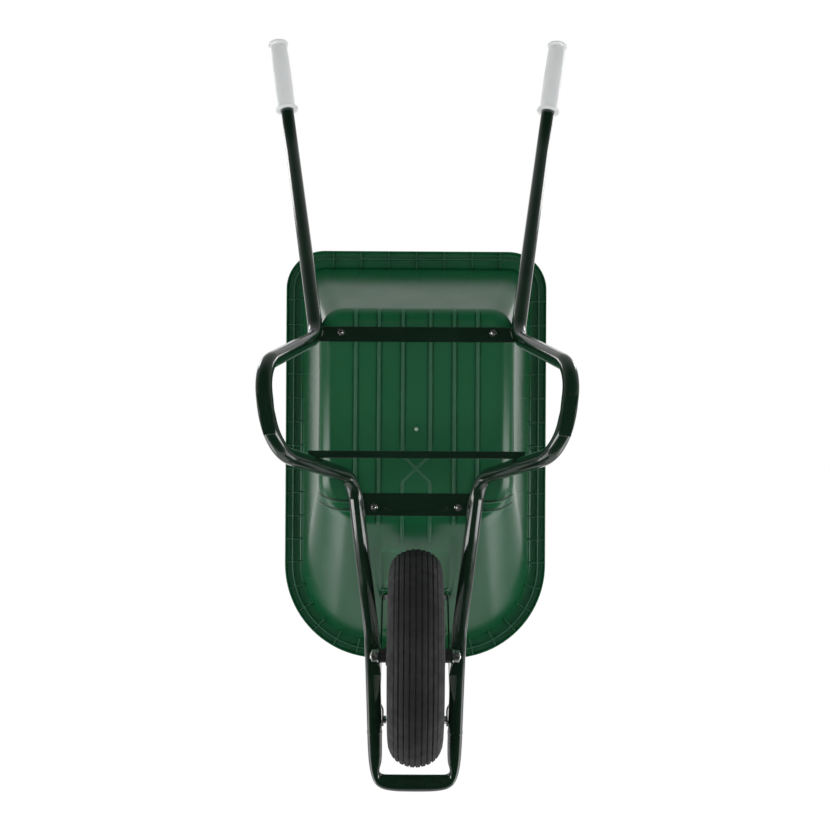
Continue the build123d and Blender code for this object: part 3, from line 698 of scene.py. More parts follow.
def rim_corner(z, reach=4.0):
    """Rings that round the corner between the wall's outer face and the underside of the rim."""
    low, top = wall_ring(z - reach), wall_ring(z)
    rings = []
    for t in (0.0, 0.25, 0.5, 0.75, 1.0):
        ring = []
        for (ax, ay, nx, ny), (cx, cy, _, _) in zip(low, top):
            start, corner = Vector((ax, ay, z - reach)), Vector((cx, cy, z))
            end = corner + Vector((nx, ny, 0)) * reach
            ring.append(start * (1 - t) ** 2 + corner * (2 * t * (1 - t)) + end * t**2)
        rings.append(ring)
    return rings


def press_panel(ring):
    """Sets the middle of the front wall in; the panel starts flush at the top of the floor's edge."""
    for point in ring:
        if abs(point.x) < FRONT_PANEL - PANEL_EDGE / 2 and point.y < front_y(FLOOR_Z):
            depth = PANEL_DEPTH * smooth_step(point.z, PANEL_Z[0], PANEL_Z[0] + PANEL_FADE)
            point.y += depth
            point.z += depth * PANEL_LEAN


def tray_wall_heights():
    low, high = PANEL_Z
    middle = [mix(low + PANEL_EDGE, high, k / WALL_STEPS) for k in range(WALL_STEPS + 1)]
    return [low, *middle, high + PANEL_EDGE, WALL_TOP_Z]


def build_tray():
    """One moulding: floor, walls, turned-out rim with its lip, then the inside back down to the floor."""
    outer = floor_and_wall(0.0, tray_wall_heights())
    inner = floor_and_wall(TRAY_WALL, INNER_WALL_Z)
    low, high = PANEL_Z
    for ring in outer:
        if low < ring[0].z < high + 0.5 * PANEL_EDGE:
            press_panel(ring)
    channel, under, lip_z = RIM_WIDTH - TRAY_WALL, RIM_Z - TRAY_WALL, RIM_Z - RIM_LIP
    rim = [
        (18, under), (channel - 2.5, under), (channel - 0.6, under - 0.8), (channel, under - 2.6),
        (channel + 0.3, lip_z + 0.6), (channel + 0.9, lip_z), (RIM_WIDTH - 0.9, lip_z),
        (RIM_WIDTH - 0.3, lip_z + 0.6), (RIM_WIDTH, lip_z + 3), (RIM_WIDTH - 0.3, RIM_Z - 4),
        (RIM_WIDTH - 1.2, RIM_Z - 1.8), (RIM_WIDTH - 3.2, RIM_Z - 0.5), (RIM_WIDTH - 6, RIM_Z),
        (8, RIM_Z), (2, RIM_Z - 0.7), (-2, RIM_Z - 3.4), (-4.2, RIM_Z - 7.5),
    ]
    rings = [*outer, *rim_corner(under), *(rim_ring(grow, z) for grow, z in rim), *reversed(inner)]
    shape = Shape()
    shape.rings([[spot(*p) for p in ring] for ring in rings])
    return shape


# How far from a strap a rib starts to rise, and where it is full height again.
STRAP_GAP = (2.0, 8.0)


def rib_section(height, width):
    return [(a * width * MM, b * height * RIB_RISE * MM) for a, b in RIB_PROFILE]


def strap_share(y):
    """Share of a floor rib's height that is left where the cross straps bear on it."""
    gap = min(abs(y - strap_y) - half for strap_y, half in STRAPS)
    return mix(RIB_UNDER_STRAP / RIB_RISE, 1.0, smooth_step(gap, *STRAP_GAP))


def surface_rib(shape, points, height=1.0, width=1.0):
    """A moulded rib along points of the tray's outer face; each point comes with the face's normal."""
    path, ups = [p for p, _ in points], [n for _, n in points]
    count = len(path)

    def section(i):
        end = min(1.0, (i + 0.35) / 2, (count - 0.65 - i) / 2)
        return rib_section(height * end * strap_share((path[i].y - AXLE_Y) / MM), width)

    swept(shape, path, ups, section)


class Underside:
    """The tray's outer face, found by looking up from the ground."""

    def __init__(self, shape):
        self.tree = BVHTree.FromPolygons(shape.verts, shape.faces)

    def follow(self, plan):
        """Points and normals of the face above a path in plan, in small even steps."""
        found = []
        for (x0, y0), (x1, y1) in zip(plan, plan[1:]):
            steps = max(1, int(hypot(x1 - x0, y1 - y0) / RIB_STEP))
            for k in range(steps):
                found.append(self.above(mix(x0, x1, k / steps), mix(y0, y1, k / steps)))
        found.append(self.above(*plan[-1]))
        return found

    def above(self, x, y):
        point, normal, _, _ = self.tree.ray_cast(spot(x, y, 0), UP)
        return point, normal if normal.z < 0 else -normal


def rib_plan(x, cross):
    """Path of one floor rib in plan, from the top of the rear edge radius to the front wall."""
    rear, front = FLOOR_REAR_Y + RIB_PAST_REAR, FLOOR_FRONT_Y - RIB_PAST_FRONT
    if not cross:
        return [(x, rear), (x, front)]
    top, bottom, inner = CROSS_Y + CROSS_HALF, CROSS_Y - CROSS_HALF, x * 0.96
    before = [(x, rear), (x, top + 3), (inner, top - 2)]
    return before + [(-inner, bottom + 2), (-x, bottom - 3), (-x, front - CROSSED_RIB_FURTHER)]


def build_tray_ribs(underside):
    """Ribs under the floor, the crossing pair, the curved steps, the ledge and the ticks."""
    shape = Shape()
    for x in RIB_X:
        for side in SIDES.values():
            surface_rib(shape, underside.follow(rib_plan(side * x, cross=x == RIB_X[0])))
    for plan in step_plans(STEP_FORWARD):
        surface_rib(shape, underside.follow(plan), height=0.7, width=0.5)
    ledge = [(-FRONT_PANEL, LEDGE_Y), (FRONT_PANEL, LEDGE_Y)]
    surface_rib(shape, underside.follow(ledge), height=1.2, width=0.9)
    for x in (-TICK_X, TICK_X):
        tick = [(x - TICK_HALF, TICK_Y), (x + TICK_HALF, TICK_Y)]
        surface_rib(shape, underside.follow(tick), height=0.9, width=0.5)
    return shape


def step_plans(forward):
    """Paths in plan of the curved steps, two on each side, moved forward."""
    shifts = [forward, STEP_GAP + forward]
    return [[(side * x, y - shift) for x, y in STEP_PLAN] for shift in shifts for side in SIDES.values()]


def build_step_shade_strips(underside):
    """A thin dark strip in the inner corner of each of the curved steps: painted shade."""
    shape = Shape()
    for plan in step_plans(0.0):
        surface_rib(shape, underside.follow(plan), height=0.25, width=0.62)
    return shape


def build_gate_mark():
    """The injection point in the middle of the floor: the torn sprue in a shallow ring."""
    centre, down = spot(0, GATE_Y, FLOOR_Z), -UP
    mark, ring = Shape(), Shape()
    dot = [(-1.0, 0.0), (-1.0, 3.8), (0.6, 3.6), (1.8, 2.6), (2.2, 0.0)]
    lathe_solid(mark, in_metres(dot), centre, down, 24)
    mark.piece("sprue_mark", TORN, "tray_plastic", sharp=60)
    rise = [(-1.0, 6.2), (0.2, 6.2), (0.8, 6.8), (0.8, 7.8), (0.2, 8.4), (-1.0, 8.4)]
    lathe(ring, in_metres(rise), centre, down, 32)
    ring.piece("sprue_ring", PLASTIC, "tray_plastic", sharp=60)


def build_rim_webs():
    """Inside the turned-over rim: one thin rib all round and short webs across the channel."""
    shape = Shape()
    under = RIM_Z - TRAY_WALL
    line = [spot(*point) for point in rim_ring(RIM_RIB_OUT, under + 1)]
    section = in_metres(RIM_RIB)
    swept(shape, line, [-UP] * len(line), lambda i: section, closed=True)
    for x, y, nx, ny in web_places():
        web(shape, Vector((x, y, under + 1)), Vector((nx, ny, 0)))
    return shape


def web_places():
    """Roots of the webs on the wall, with the way out: rear, sides, and round the front corners."""
    places = [(k * REAR_WEB_PITCH, MOUTH_REAR_Y, 0, 1) for k in range(-3, 4)]
    centre_x, centre_y = MOUTH_HALF_WIDTH - MOUTH_FRONT_RADIUS, MOUTH_FRONT_Y + MOUTH_FRONT_RADIUS
    for side in SIDES.values():
        y = SIDE_WEB_START
        while y > centre_y:
            places.append((side * MOUTH_HALF_WIDTH, y, side, 0))
            y -= WEB_PITCH * mix(1.0, WEB_CLOSING, (SIDE_WEB_START - y) / (SIDE_WEB_START - centre_y))
        angle = (centre_y - y) / MOUTH_FRONT_RADIUS
        while angle < pi / 2:
            nx, ny = side * cos(angle), -sin(angle)
            x = side * centre_x + MOUTH_FRONT_RADIUS * nx
            places.append((x, centre_y + MOUTH_FRONT_RADIUS * ny, nx, ny))
            angle += WEB_PITCH * WEB_CLOSING / (MOUTH_FRONT_RADIUS + RIM_RIB_OUT)
    return places + [(x, MOUTH_FRONT_Y, 0, -1) for x in FRONT_WEB_X]


def web(shape, root, out):
    """One thin upright web between the wall and the lip."""
    along = Vector((-out.y, out.x, 0))
    rings = []
    for reach, drop in ((-3.0, 10.0), (4.0, 9.6), (16.0, 9.0), (RIM_WIDTH - TRAY_WALL + 1.0, 8.4)):
        ring = []
        flank = [(1.7, 0.0), (1.4, drop - 1.1), (0.6, drop)]
        for half, low in [(-a, b) for a, b in flank] + flank[::-1]:
            ring.append(spot(*(root + out * reach + along * half - UP * low)))
        rings.append(ring)
    shape.rings(rings)


# --- frame tubes -------------------------------------------------------------------------------------
BEND_SQUEEZE = 0.11
INSIDE_SQUEEZE = 1.3
OUTSIDE_SQUEEZE = 0.5
BORE_SHARE = 0.89


def side_corners(side):
    """Corners of a side tube's middle line, from the handle's end to the sleeve on the nose loop."""
    share = (RAIL_KINK[1] - SLEEVE_Y) / (RAIL_KINK[1] - NOSE_CORNER[1])
    end = (mix(RAIL_KINK[0], NOSE_CORNER[0], share), SLEEVE_Y, RAIL_Z)
    corners = [HANDLE_END, HANDLE_BEND, REAR_BEND, HEEL, SOLE, TOE, KNEE, RAIL_KINK, end]
    return [spot(*mirrored(c, side)) for c in corners]


def build_side_tube(side):
    """Bent tube, a little flattened on the inside of each bend as a press bender leaves it."""
    shape = Shape()
    points, bend = rounded_path(side_corners(side), [r * MM for r in BEND_RADII])
    ways = tangents(points)
    ups = carried_frames(points, UP)
    inward = bend_directions(points)
    rings = []
    for i, point in enumerate(points):
        side_way, up = across(ways[i], ups[i])
        squeeze = min(bend[i], 1.0) * BEND_SQUEEZE
        ring = []
        for a, b in ellipse(TUBE_R * MM, TUBE_R * MM, 48):
            offset = side_way * a + up * b
            toward = offset.dot(inward[i])
            offset -= inward[i] * toward * squeeze * (INSIDE_SQUEEZE if toward > 0 else OUTSIDE_SQUEEZE)
            ring.append(point + offset)
        rings.append(ring)
    start_face, end_face = ([p.lerp(points[i], (1 - BORE_SHARE) / 2) for p in rings[i]] for i in (0, -1))
    inside = [[p.lerp(c, 1 - BORE_SHARE) for p in ring] for ring, c in zip(rings, points)]
    shape.rings([*rings, end_face, *reversed(inside), start_face], closed=True)
    return shape


def bend_directions(points):
    """Unit vector towards the inside of the bend at each point of a path."""
    ways = tangents(points)
    found = []
    for i in range(len(points)):
        change = ways[min(i + 1, len(ways) - 1)] - ways[max(i - 1, 0)]
        if change.length < 1e-5:
            change = across(ways[i], UP)[1]
        found.append(change.normalized())
    return found


# Outer and inner outline of the nose loop in plan on the +X side, with half its height, from the
# sleeve round to the middle of the front bar.
NOSE_STATIONS = [
    (88.9, -163.2, 60.9, -163.2, 14.0), (88.0, -185.0, 60.6, -185.0, 14.0),
    (86.6, -207.0, 60.8, -205.0, 14.0), (84.6, -224.0, 61.8, -217.0, 13.8),
    (81.5, -238.5, 64.0, -225.0, 13.2), (77.3, -250.3, 65.0, -231.0, 12.6),
    (70.5, -259.3, 63.6, -236.0, 12.2), (61.0, -265.2, 58.5, -238.9, 12.0),
    (50.0, -268.3, 49.5, -239.6, 12.0), (34.0, -270.2, 34.0, -239.6, 11.9),
    (16.0, -270.8, 16.0, -239.6, 11.8), (0.0, -270.9, 0.0, -239.6, 11.8),
]
NOSE_DENT = 3.2
DENT_STATION = 8.2
DENT_LENGTH = 0.9
DENT_ANGLE = -2.15
DENT_SPREAD = 0.55
SPIGOT_START = -135.0
SPIGOT_R = 12.2


def smooth_rows(rows, steps):
    """Passes a smooth curve through rows of numbers."""
    found = []
    last = len(rows) - 1
    for i in range(last):
        p, q, r, t = (rows[min(max(i + k, 0), last)] for k in (-1, 0, 1, 2))
        for k in range(steps):
            u = k / steps
            weights = ((-u + 2 * u**2 - u**3) / 2, (2 - 5 * u**2 + 3 * u**3) / 2,
                       (u + 4 * u**2 - 3 * u**3) / 2, (u**3 - u**2) / 2)
            found.append([sum(w * v for w, v in zip(weights, column)) for column in zip(p, q, r, t)])
    return found + [list(rows[-1])]


def build_nose_loop():
    """Nose loop: round legs, corners pinched by the bender and a front bar pressed flatter."""
    shape = Shape()
    half = [[i, *row] for i, row in enumerate(NOSE_STATIONS)]
    right = [[i, -ox, oy, -ix, iy, h] for i, ox, oy, ix, iy, h in half[:-1]]
    rings = [nose_ring(*row) for row in smooth_rows(half + right[::-1], 6)]
    start_x = (NOSE_STATIONS[0][0] + NOSE_STATIONS[0][2]) / 2
    spigots = [[nose_spigot(side * start_x, y, side) for y in (SPIGOT_START, SLEEVE_Y)] for side in (1, -1)]
    shape.rings([*spigots[0], *rings, *reversed(spigots[1])])
    return shape


def nose_ring(station, outer_x, outer_y, inner_x, inner_y, half_height):
    """One section of the nose loop, with the bender's dent under the inside of the corner."""
    outer, inner = spot(outer_x, outer_y, RAIL_Z), spot(inner_x, inner_y, RAIL_Z)
    centre, reach = (outer + inner) / 2, (outer - inner) / 2
    dent = NOSE_DENT * MM * bell(station - DENT_STATION, DENT_LENGTH)
    ring = []
    for a, b in ellipse(1.0, half_height * MM, 48):
        angle = atan2(b / (half_height * MM), a)
        weight = bell(angle - DENT_ANGLE, DENT_SPREAD)
        point = reach * a + UP * b
        ring.append(centre + point * (1 - dent * weight / point.length))
    return ring


def nose_spigot(x, y, side):
    """One section of the part that goes into a side tube."""
    outline = ellipse(SPIGOT_R * MM, SPIGOT_R * MM, 48)
    return [spot(x, y, RAIL_Z) + Vector((side * a, 0, b)) for a, b in outline]


def build_sleeve_rims():
    """The visible edge where each side tube slips over the nose loop."""
    shape = Shape()
    for side in SIDES.values():
        before, end = side_corners(side)[-2:]
        profile = [(-6.0, 13.9), (-5.5, 14.45), (-1.0, 14.55), (0.0, 14.2), (0.0, 13.9)]
        lathe(shape, in_metres(profile), end, end - before, 48)
    return shape


# --- welds -------------------------------------------------------------------------------------------
SEAM_ROUNDS = 12
SEAM_COUNT = 9
BEAD_STEP = 0.0006
RIPPLE_PITCH = 0.0024
WANDER = 900.0


def node_tree(name):
    """Search tree of a CAD node's surface."""
    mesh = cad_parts[name].data
    corners = [v.co.copy() for v in mesh.vertices]
    return BVHTree.FromPolygons(corners, [tuple(p.vertices) for p in mesh.polygons])


def seam_points(tree_a, tree_b, start, end, count):
    """Points on the line where two CAD surfaces meet, near a straight guess, with the way out."""
    found = []
    for k in range(count):
        point = start.lerp(end, k / (count - 1))
        for _ in range(SEAM_ROUNDS):
            on_a, normal_a, _, _ = tree_a.find_nearest(point)
            on_b, normal_b, _, _ = tree_b.find_nearest(on_a)
            point = (on_a + on_b) / 2
        out = normal_a + normal_b
        found.append((point, out.normalized() if out.length > 0.2 else normal_a))
    return found


def weld_bead(shape, seam, radius):
    """Rippled weld bead along a seam, tapered at both ends."""
    length = sum((b[0] - a[0]).length for a, b in zip(seam, seam[1:]))
    steps = max(12, int(length / BEAD_STEP))
    points, ups = [], []
    for k in range(steps + 1):
        place = k / steps * (len(seam) - 1)
        i = min(int(place), len(seam) - 2)
        points.append(seam[i][0].lerp(seam[i + 1][0], place - i))
        ups.append(seam[i][1].lerp(seam[i + 1][1], place - i))
    drift = random.uniform(0, 6)

    def section(i):
        along = i * length / steps
        ripple = 1 + 0.10 * abs(sin(pi * along / RIPPLE_PITCH)) + 0.05 * sin(along * WANDER + drift)
        end = min(1.0, (i + 1) / 6, (steps + 1 - i) / 6)
        size = radius * ripple * sqrt(end)
        return ellipse(size * 1.15, size * 0.8, 12)

    swept(shape, points, ups, section)


def build_welds():
    """Weld beads at the straps, the brace, the foot plates and the axle brackets."""
    shape = Shape()
    for side_name, side in SIDES.items():
        tube = node_tree(f"{side_name}_frame_tube")
        jobs = [
            ("rear_cross_member", (182, 570, 289), (182, 596, 289), 2.4),
            ("rear_cross_member", (182, 570, 293), (182, 596, 293), 2.0),
            ("front_cross_member", (100, 243, 289), (104, 282, 289), 2.2),
            ("leg_brace", (186, 355, 152), (186, 367, 152), 2.2),
            ("leg_brace", (186, 355, 159), (186, 367, 159), 2.0),
            (f"{side_name}_foot_plate", (254, 464, 5), (238, 466, 5), 2.6),
            (f"{side_name}_foot_plate", (245, 399, 8), (229, 401, 8), 2.4),
            (f"{side_name}_axle_bracket", (86, -46, 261), (86, 4, 261), 2.0),
            (f"{side_name}_axle_bracket", (63, -46, 261), (66, 4, 261), 2.0),
        ]
        for node, start, end, radius in jobs:
            ends = [spot(*mirrored(p, side)) for p in (start, end)]
            weld_bead(shape, seam_points(tube, node_tree(node), *ends, SEAM_COUNT), radius * MM)
    return shape


# --- fasteners ---------------------------------------------------------------------------------------
# Each size of thread: its radius, pitch, and its nut's flats and height.
M6 = (3.0, 1.0, 10.0, 5.0)
M8 = (4.0, 1.25, 13.0, 6.5)
M8_THIN = (4.0, 1.25, 13.0, 5.0)
M12 = (6.0, 1.75, 19.0, 10.0)
BOLT_HEAD = 5.5
CHAMFER_ANGLE = radians(28)
FACE_SHARE = 0.95
BORE_CHAMFER = 0.8
THREAD_DEPTH = 0.61
THREAD_TURN_STEPS = 8

TRAY_BOLTS = [(143.0, 586.0), (79.0, 258.0)]
TRAY_BOLT_HEAD = (10.0, 4.5)
TRAY_WASHER = 1.6
TRAY_BOLT_TAIL = 4.0
STRAP_BOTTOM = 289.0
STAY_BOLT_X = 35.0
STAY_BOLT_Z = 470.0
STAY_BOLT_HEAD = (8.0, 3.5)
STAY_STRIP = 3.0
STAY_BOLT_START = 4.0
STAY_BOLT_TAIL = 3.0
AXLE_NUT_X = 68.5
RIM_BOLT_R = 66.0
RIM_SHEET = 2.0
RIM_BOLT_TAIL = 2.0


def hexagon(shape, base, axis, flats, height, bore_r, turn):
    """Hexagonal ring with chamfered corners; base is the middle of its lower face."""
    axis = Vector(axis).normalized()
    face_r, count = flats / 2 * FACE_SHARE, 60
    around = spokes(axis, HEXAGON_START, count, turn)
    hexes = [flats / 2 / cos((2 * pi * k / count + pi / 6) % (pi / 3) - pi / 6) for k in range(count)]

    def ring(radii, heights):
        return [base + s * (r * MM) + axis * (h * MM) for s, r, h in zip(around, radii, heights)]

    def flat_ring(radius, z):
        return ring([radius] * count, [z] * count)

    cut = [(h - face_r) * tan(CHAMFER_ANGLE) for h in hexes]
    mouth_r = bore_r + BORE_CHAMFER
    rings = [
        flat_ring(bore_r, BORE_CHAMFER), flat_ring(mouth_r, 0.0), flat_ring(face_r, 0.0), ring(hexes, cut),
        ring(hexes, [height - c for c in cut]), flat_ring(face_r, height), flat_ring(mouth_r, height),
        flat_ring(bore_r, height - BORE_CHAMFER),
    ]
    shape.rings(rings, closed=True)


def nut(shape, base, axis, size, turn):
    radius, _, flats, height = size
    hexagon(shape, base, axis, flats, height, radius, turn)


def thread(shape, start, axis, size, length):
    """Threaded end of a bolt, closed and chamfered at its tip."""
    axis = Vector(axis).normalized()
    radius, pitch, _, _ = size
    count, steps = 28, int(length / pitch * THREAD_TURN_STEPS)
    around = spokes(axis, HEXAGON_START, count)
    rings = []
    for i in range(steps + 1):
        along = length * i / steps
        taper = 1 - 0.35 * smooth_step(along, length - 1.2, length + 0.4)
        ring = []
        for k, spoke in enumerate(around):
            phase = (along / pitch - k / count) % 1.0
            depth = THREAD_DEPTH * pitch * (1 - abs(2 * phase - 1))
            ring.append(start + spoke * ((radius - depth) * taper * MM) + axis * (along * MM))
        rings.append(ring)
    shape.rings(rings)


def dome_head(shape, base, axis, radius, height):
    """Mushroom head with a thin rim; base is the middle of its underside."""
    profile = [(0.0, 0.0), (0.0, radius - 0.4), (0.5, radius), (1.0, radius - 0.1)]
    dome_r = (radius**2 + (height - 1) ** 2) / (2 * (height - 1))
    for k in range(1, 9):
        r = radius * (1 - k / 8)
        profile.append((height - dome_r + sqrt(dome_r**2 - r**2), r))
    lathe_solid(shape, in_metres(profile), base, axis, 40)


def hex_head(shape, base, axis, size, height, turn):
    """Hexagon bolt head: a hexagonal ring with a closed, slightly dished middle."""
    flats = size[2]
    hexagon(shape, base, axis, flats, height, flats / 4, turn)
    plug = [(0.3, 0.0), (0.3, flats / 4), (height - 0.5, flats / 4), (height - 0.7, 0.0)]
    lathe_solid(shape, in_metres(plug), base, axis, 32)


def build_tray_fasteners():
    """Domed bolts through floor and straps, with their nuts below."""
    bolts, nuts = Shape(), Shape()
    head_z, nut_z = FLOOR_Z + TRAY_WALL + TRAY_WASHER, STRAP_BOTTOM - M8[3]
    start_z = head_z + 0.5
    for x, y in TRAY_BOLTS:
        for side in SIDES.values():
            dome_head(bolts, spot(side * x, y, head_z), UP, *TRAY_BOLT_HEAD)
            thread(bolts, spot(side * x, y, start_z), -UP, M8, start_z - nut_z + TRAY_BOLT_TAIL)
            nut(nuts, spot(side * x, y, nut_z), UP, M8, random.uniform(0, pi / 3))
    bolts.piece("tray_bolts_threaded", ZINC, "zinc", ["tray_bolts"])
    nuts.piece("tray_nuts_hex", ZINC, "zinc", ["tray_nuts"])


def inner_x(name):
    """How near a pair of mirrored CAD pieces comes to the middle of the barrow."""
    return min(abs(v.co.x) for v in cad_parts[name].data.vertices)


def build_stay_fasteners():
    """Bolts of the front stay, and the studs and nuts at its feet."""
    bolts, nuts, studs, stud_nuts = Shape(), Shape(), Shape(), Shape()
    low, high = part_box("stay_studs")
    stud_y, stud_z = (low.y + high.y) / 2, (low.z + high.z) / 2
    lean = atan2(FLOOR_FRONT_Y - MOUTH_FRONT_Y, RIM_Z - FLOOR_Z)
    out = Vector((0, -cos(lean), -sin(lean)))
    tube_x = abs(low.x) - 0.3 * MM
    stud_inner_x, nut_inner_x = inner_x("stay_studs"), inner_x("stay_stud_nuts")
    bolt_length = STAY_BOLT_START + STAY_STRIP + M6[3] + STAY_BOLT_TAIL
    for side in SIDES.values():
        wall = spot(side * STAY_BOLT_X, front_y(STAY_BOLT_Z), STAY_BOLT_Z)
        dome_head(bolts, wall - out * (TRAY_WALL * MM), -out, *STAY_BOLT_HEAD)
        thread(bolts, wall - out * (STAY_BOLT_START * MM), out, M6, bolt_length)
        nut(nuts, wall + out * (STAY_STRIP * MM), out, M6, random.uniform(0, pi / 3))
        stud_start = Vector((side * tube_x, stud_y, stud_z))
        thread(studs, stud_start, (-side, 0, 0), M8, (tube_x - stud_inner_x) / MM)
        nut_base = Vector((side * nut_inner_x, stud_y, stud_z))
        nut(stud_nuts, nut_base, (side, 0, 0), M8_THIN, random.uniform(0, 1))
    bolts.piece("stay_bolts_threaded", ZINC, "zinc", ["stay_bolts"])
    nuts.piece("stay_nuts_hex", ZINC, "zinc", ["stay_nuts"])
    studs.piece("stay_studs_threaded", ZINC, "zinc", ["stay_studs"])
    stud_nuts.piece("stay_stud_nuts_hex", ZINC, "zinc", ["stay_stud_nuts"])


def build_axle_nuts():
    shape = Shape()
    for side in SIDES.values():
        nut(shape, spot(side * AXLE_NUT_X, 0, AXLE_Z), (side, 0, 0), M12, random.uniform(0, 1))
    shape.piece("axle_nuts_hex", ZINC, "zinc", ["axle_nuts"])


def build_rim_fasteners():
    """Four hexagon bolts and nuts that hold the two half rims together."""
    bolts, nuts = Shape(), Shape()
    hub, way = spot(0, 0, AXLE_Z), Vector((1, 0, 0))
    start = RIM_SHEET + 0.2
    for k in range(4):
        angle = pi / 4 + k * pi / 2
        at = hub + Vector((0, cos(angle), sin(angle))) * (RIM_BOLT_R * MM)
        hex_head(bolts, at + way * (RIM_SHEET * MM), way, M8, BOLT_HEAD, random.uniform(0, 1))
        thread(bolts, at + way * (start * MM), -way, M8, start + RIM_SHEET + M8[3] + RIM_BOLT_TAIL)
        nut(nuts, at - way * (RIM_SHEET * MM), -way, M8, random.uniform(0, 1))
    bolts.piece("rim_bolts_hex", ZINC, "zinc", ["rim_bolts"], "wheel")
    nuts.piece("rim_nuts_hex", ZINC, "zinc", ["rim_nuts"], "wheel")


# --- tyre --------------------------------------------------------------------------------------------
SIDE_RING_R = (122.0, 126.5, 158.0)
SIDE_RING_HEIGHT = 0.55
SIDE_RING_HALF = 1.3
CAVITY_TOP = (0.0, 182.0)


def circle_through(a, b, c):
    """Centre and radius of the circle through three points in a plane."""
    (ax, ay), (bx, by), (cx, cy) = a, b, c
    d = 2 * (ax * (by - cy) + bx * (cy - ay) + cx * (ay - by))
    aa, bb, cc = ax**2 + ay**2, bx**2 + by**2, cx**2 + cy**2
    x = (aa * (by - cy) + bb * (cy - ay) + cc * (ay - by)) / d
    y = (aa * (cx - bx) + bb * (ax - cx) + cc * (bx - ax)) / d
    return (x, y), hypot(ax - x, ay - y)


def arc_points(a, b, c, count):
    """Points from a through b to c."""
    (x, y), radius = circle_through(a, b, c)
    start, middle, end = (atan2(p[1] - y, p[0] - x) for p in (a, b, c))
    while middle < start:
        middle += 2 * pi
    while end < middle:
        end += 2 * pi
    return [
        (x + radius * cos(mix(start, end, k / count)), y + radius * sin(mix(start, end, k / count)))
        for k in range(count + 1)
    ]


def groove_depth(x):
    """Depth of the tread's grooves at an X, with rounded edges."""
    near = min(abs(abs(x) - g) for g in GROOVE_X)
    return GROOVE_DEPTH * (1 - smooth_step(near, 0.45, GROOVE_HALF_WIDTH))


def tyre_half_profile():
    """Outer section from the crown to the bead on the +X side, ribs and side rings included."""
    edge = (TREAD_HALF_WIDTH, TREAD_EDGE_R)
    crown = arc_points(edge, (0, WHEEL_R), (-TREAD_HALF_WIDTH, TREAD_EDGE_R), 180)[:91]
    points = [(x, r - groove_depth(x)) for x, r in reversed(crown)]
    wall = arc_points((BEAD_HALF_WIDTH + 1, RIM_FLANGE_R), (TYRE_HALF_WIDTH, BELLY_R), edge, 90)
    for x, r in wall[-2::-1]:
        shoulder = 0.56 * smooth_step(r, 168, 171) * groove_depth(x)
        rise = sum(max(0.0, 1 - ((r - ring_r) / SIDE_RING_HALF) ** 2) for ring_r in SIDE_RING_R)
        points.append((x - shoulder + rise * SIDE_RING_HEIGHT * 0.8, r - shoulder))
    bead = [(0.0, RIM_FLANGE_R - 4), (0.0, BEAD_R + 0.6), (-2.0, BEAD_R)]
    return points + [(BEAD_HALF_WIDTH + x, r) for x, r in bead]


def build_tyre():
    """Pneumatic tyre: ribbed tread, side rings, bead and the hollow for the air tube."""
    shape = Shape()
    bead_x = BEAD_HALF_WIDTH - CARCASS + 1
    cavity = [
        (bead_x, BEAD_R + 0.3), (bead_x, RIM_FLANGE_R), (42.0, 130.0), (42.6, BELLY_R), (40.0, 158.0),
        (30.5, 170.5), (16.0, 179.0), CAVITY_TOP,
    ]
    half = tyre_half_profile() + cavity
    mirror = [(-x, r) for x, r in reversed(half)][1:-1]
    lathe(shape, in_metres(half + mirror), spot(0, 0, AXLE_Z), (1, 0, 0), 180)
    shape.piece("tyre_ribbed", TYRE, "tyre", ["tyre"], "wheel", sharp=50)


# --- grips -------------------------------------------------------------------------------------------
GRIP_DEPTH = 154.0
GRIP_BORE_R = 14.2
HOLD_START = 9.5
HOLD_END = 149.5
HOLD_R = 18.1
HOLD_BULGE = 1.2
HOLD_STEPS = 24


def grip_profile():
    """Bore and the way back from its closed end, both hidden by the tube, then inner flange, slightly
    barrelled hand hold, end flange and closed end."""
    bore = [(0.4, GRIP_BORE_R), (GRIP_DEPTH, GRIP_BORE_R), (GRIP_DEPTH, 0.0)]
    flange = [
        (0.0, GRIP_BORE_R), (0.0, 23.2), (0.6, 24.0), (4.2, 24.0), (5.0, 23.2), (5.6, 20.6), (7.2, 18.8),
        (HOLD_START, HOLD_R),
    ]
    shares = [k / HOLD_STEPS for k in range(1, HOLD_STEPS)]
    hold = [(mix(HOLD_START, HOLD_END, share), HOLD_R + HOLD_BULGE * sin(pi * share)) for share in shares]
    end = [
        (HOLD_END, 18.2), (151.0, 18.7), (152.6, 20.6), (153.4, 21.3), (156.4, 21.5), (157.4, 20.9),
        (158.0, 19.6), (158.0, 8.0), (157.3, 0.0),
    ]
    return bore + flange + hold + end


def build_grip(side_name, side):
    """Plastic sleeve over the handle's end."""
    shape = Shape()
    end, bend = spot(*mirrored(HANDLE_END, side)), spot(*mirrored(HANDLE_BEND, side))
    way = (end - bend).normalized()
    start = end - way * (GRIP_DEPTH * MM)
    lathe_solid(shape, in_metres(grip_profile()), start, way, 56, UP)
    replaced = [f"{side_name}_grip"]
    shape.piece(f"{side_name}_grip_moulded", GRIP, "grip_plastic", replaced, sharp=60)


# --- studio ------------------------------------------------------------------------------------------
CAMERA_AT = (0.0094, -0.0621, -1.7667)
CAMERA_TURNS = (0.203, 0.183, 0.313)
SENSOR = 36.0
LENS = 47.428916
LIT_POINT = (0, -0.05, 0.3)
FLOOR_REACH = 9.0

# How bright the surroundings are in reflections, from straight down (0) through level (0.5) to
# straight up (1).
SKY_LEVELS = (
    (0.0, 0.01), (1.0, 0.45), (0.25, 0.02), (0.38, 0.08), (0.50, 0.20), (0.59, 0.27), (0.71, 0.34),
    (0.82, 0.36), (0.90, 0.66), (0.955, 1.3),
)


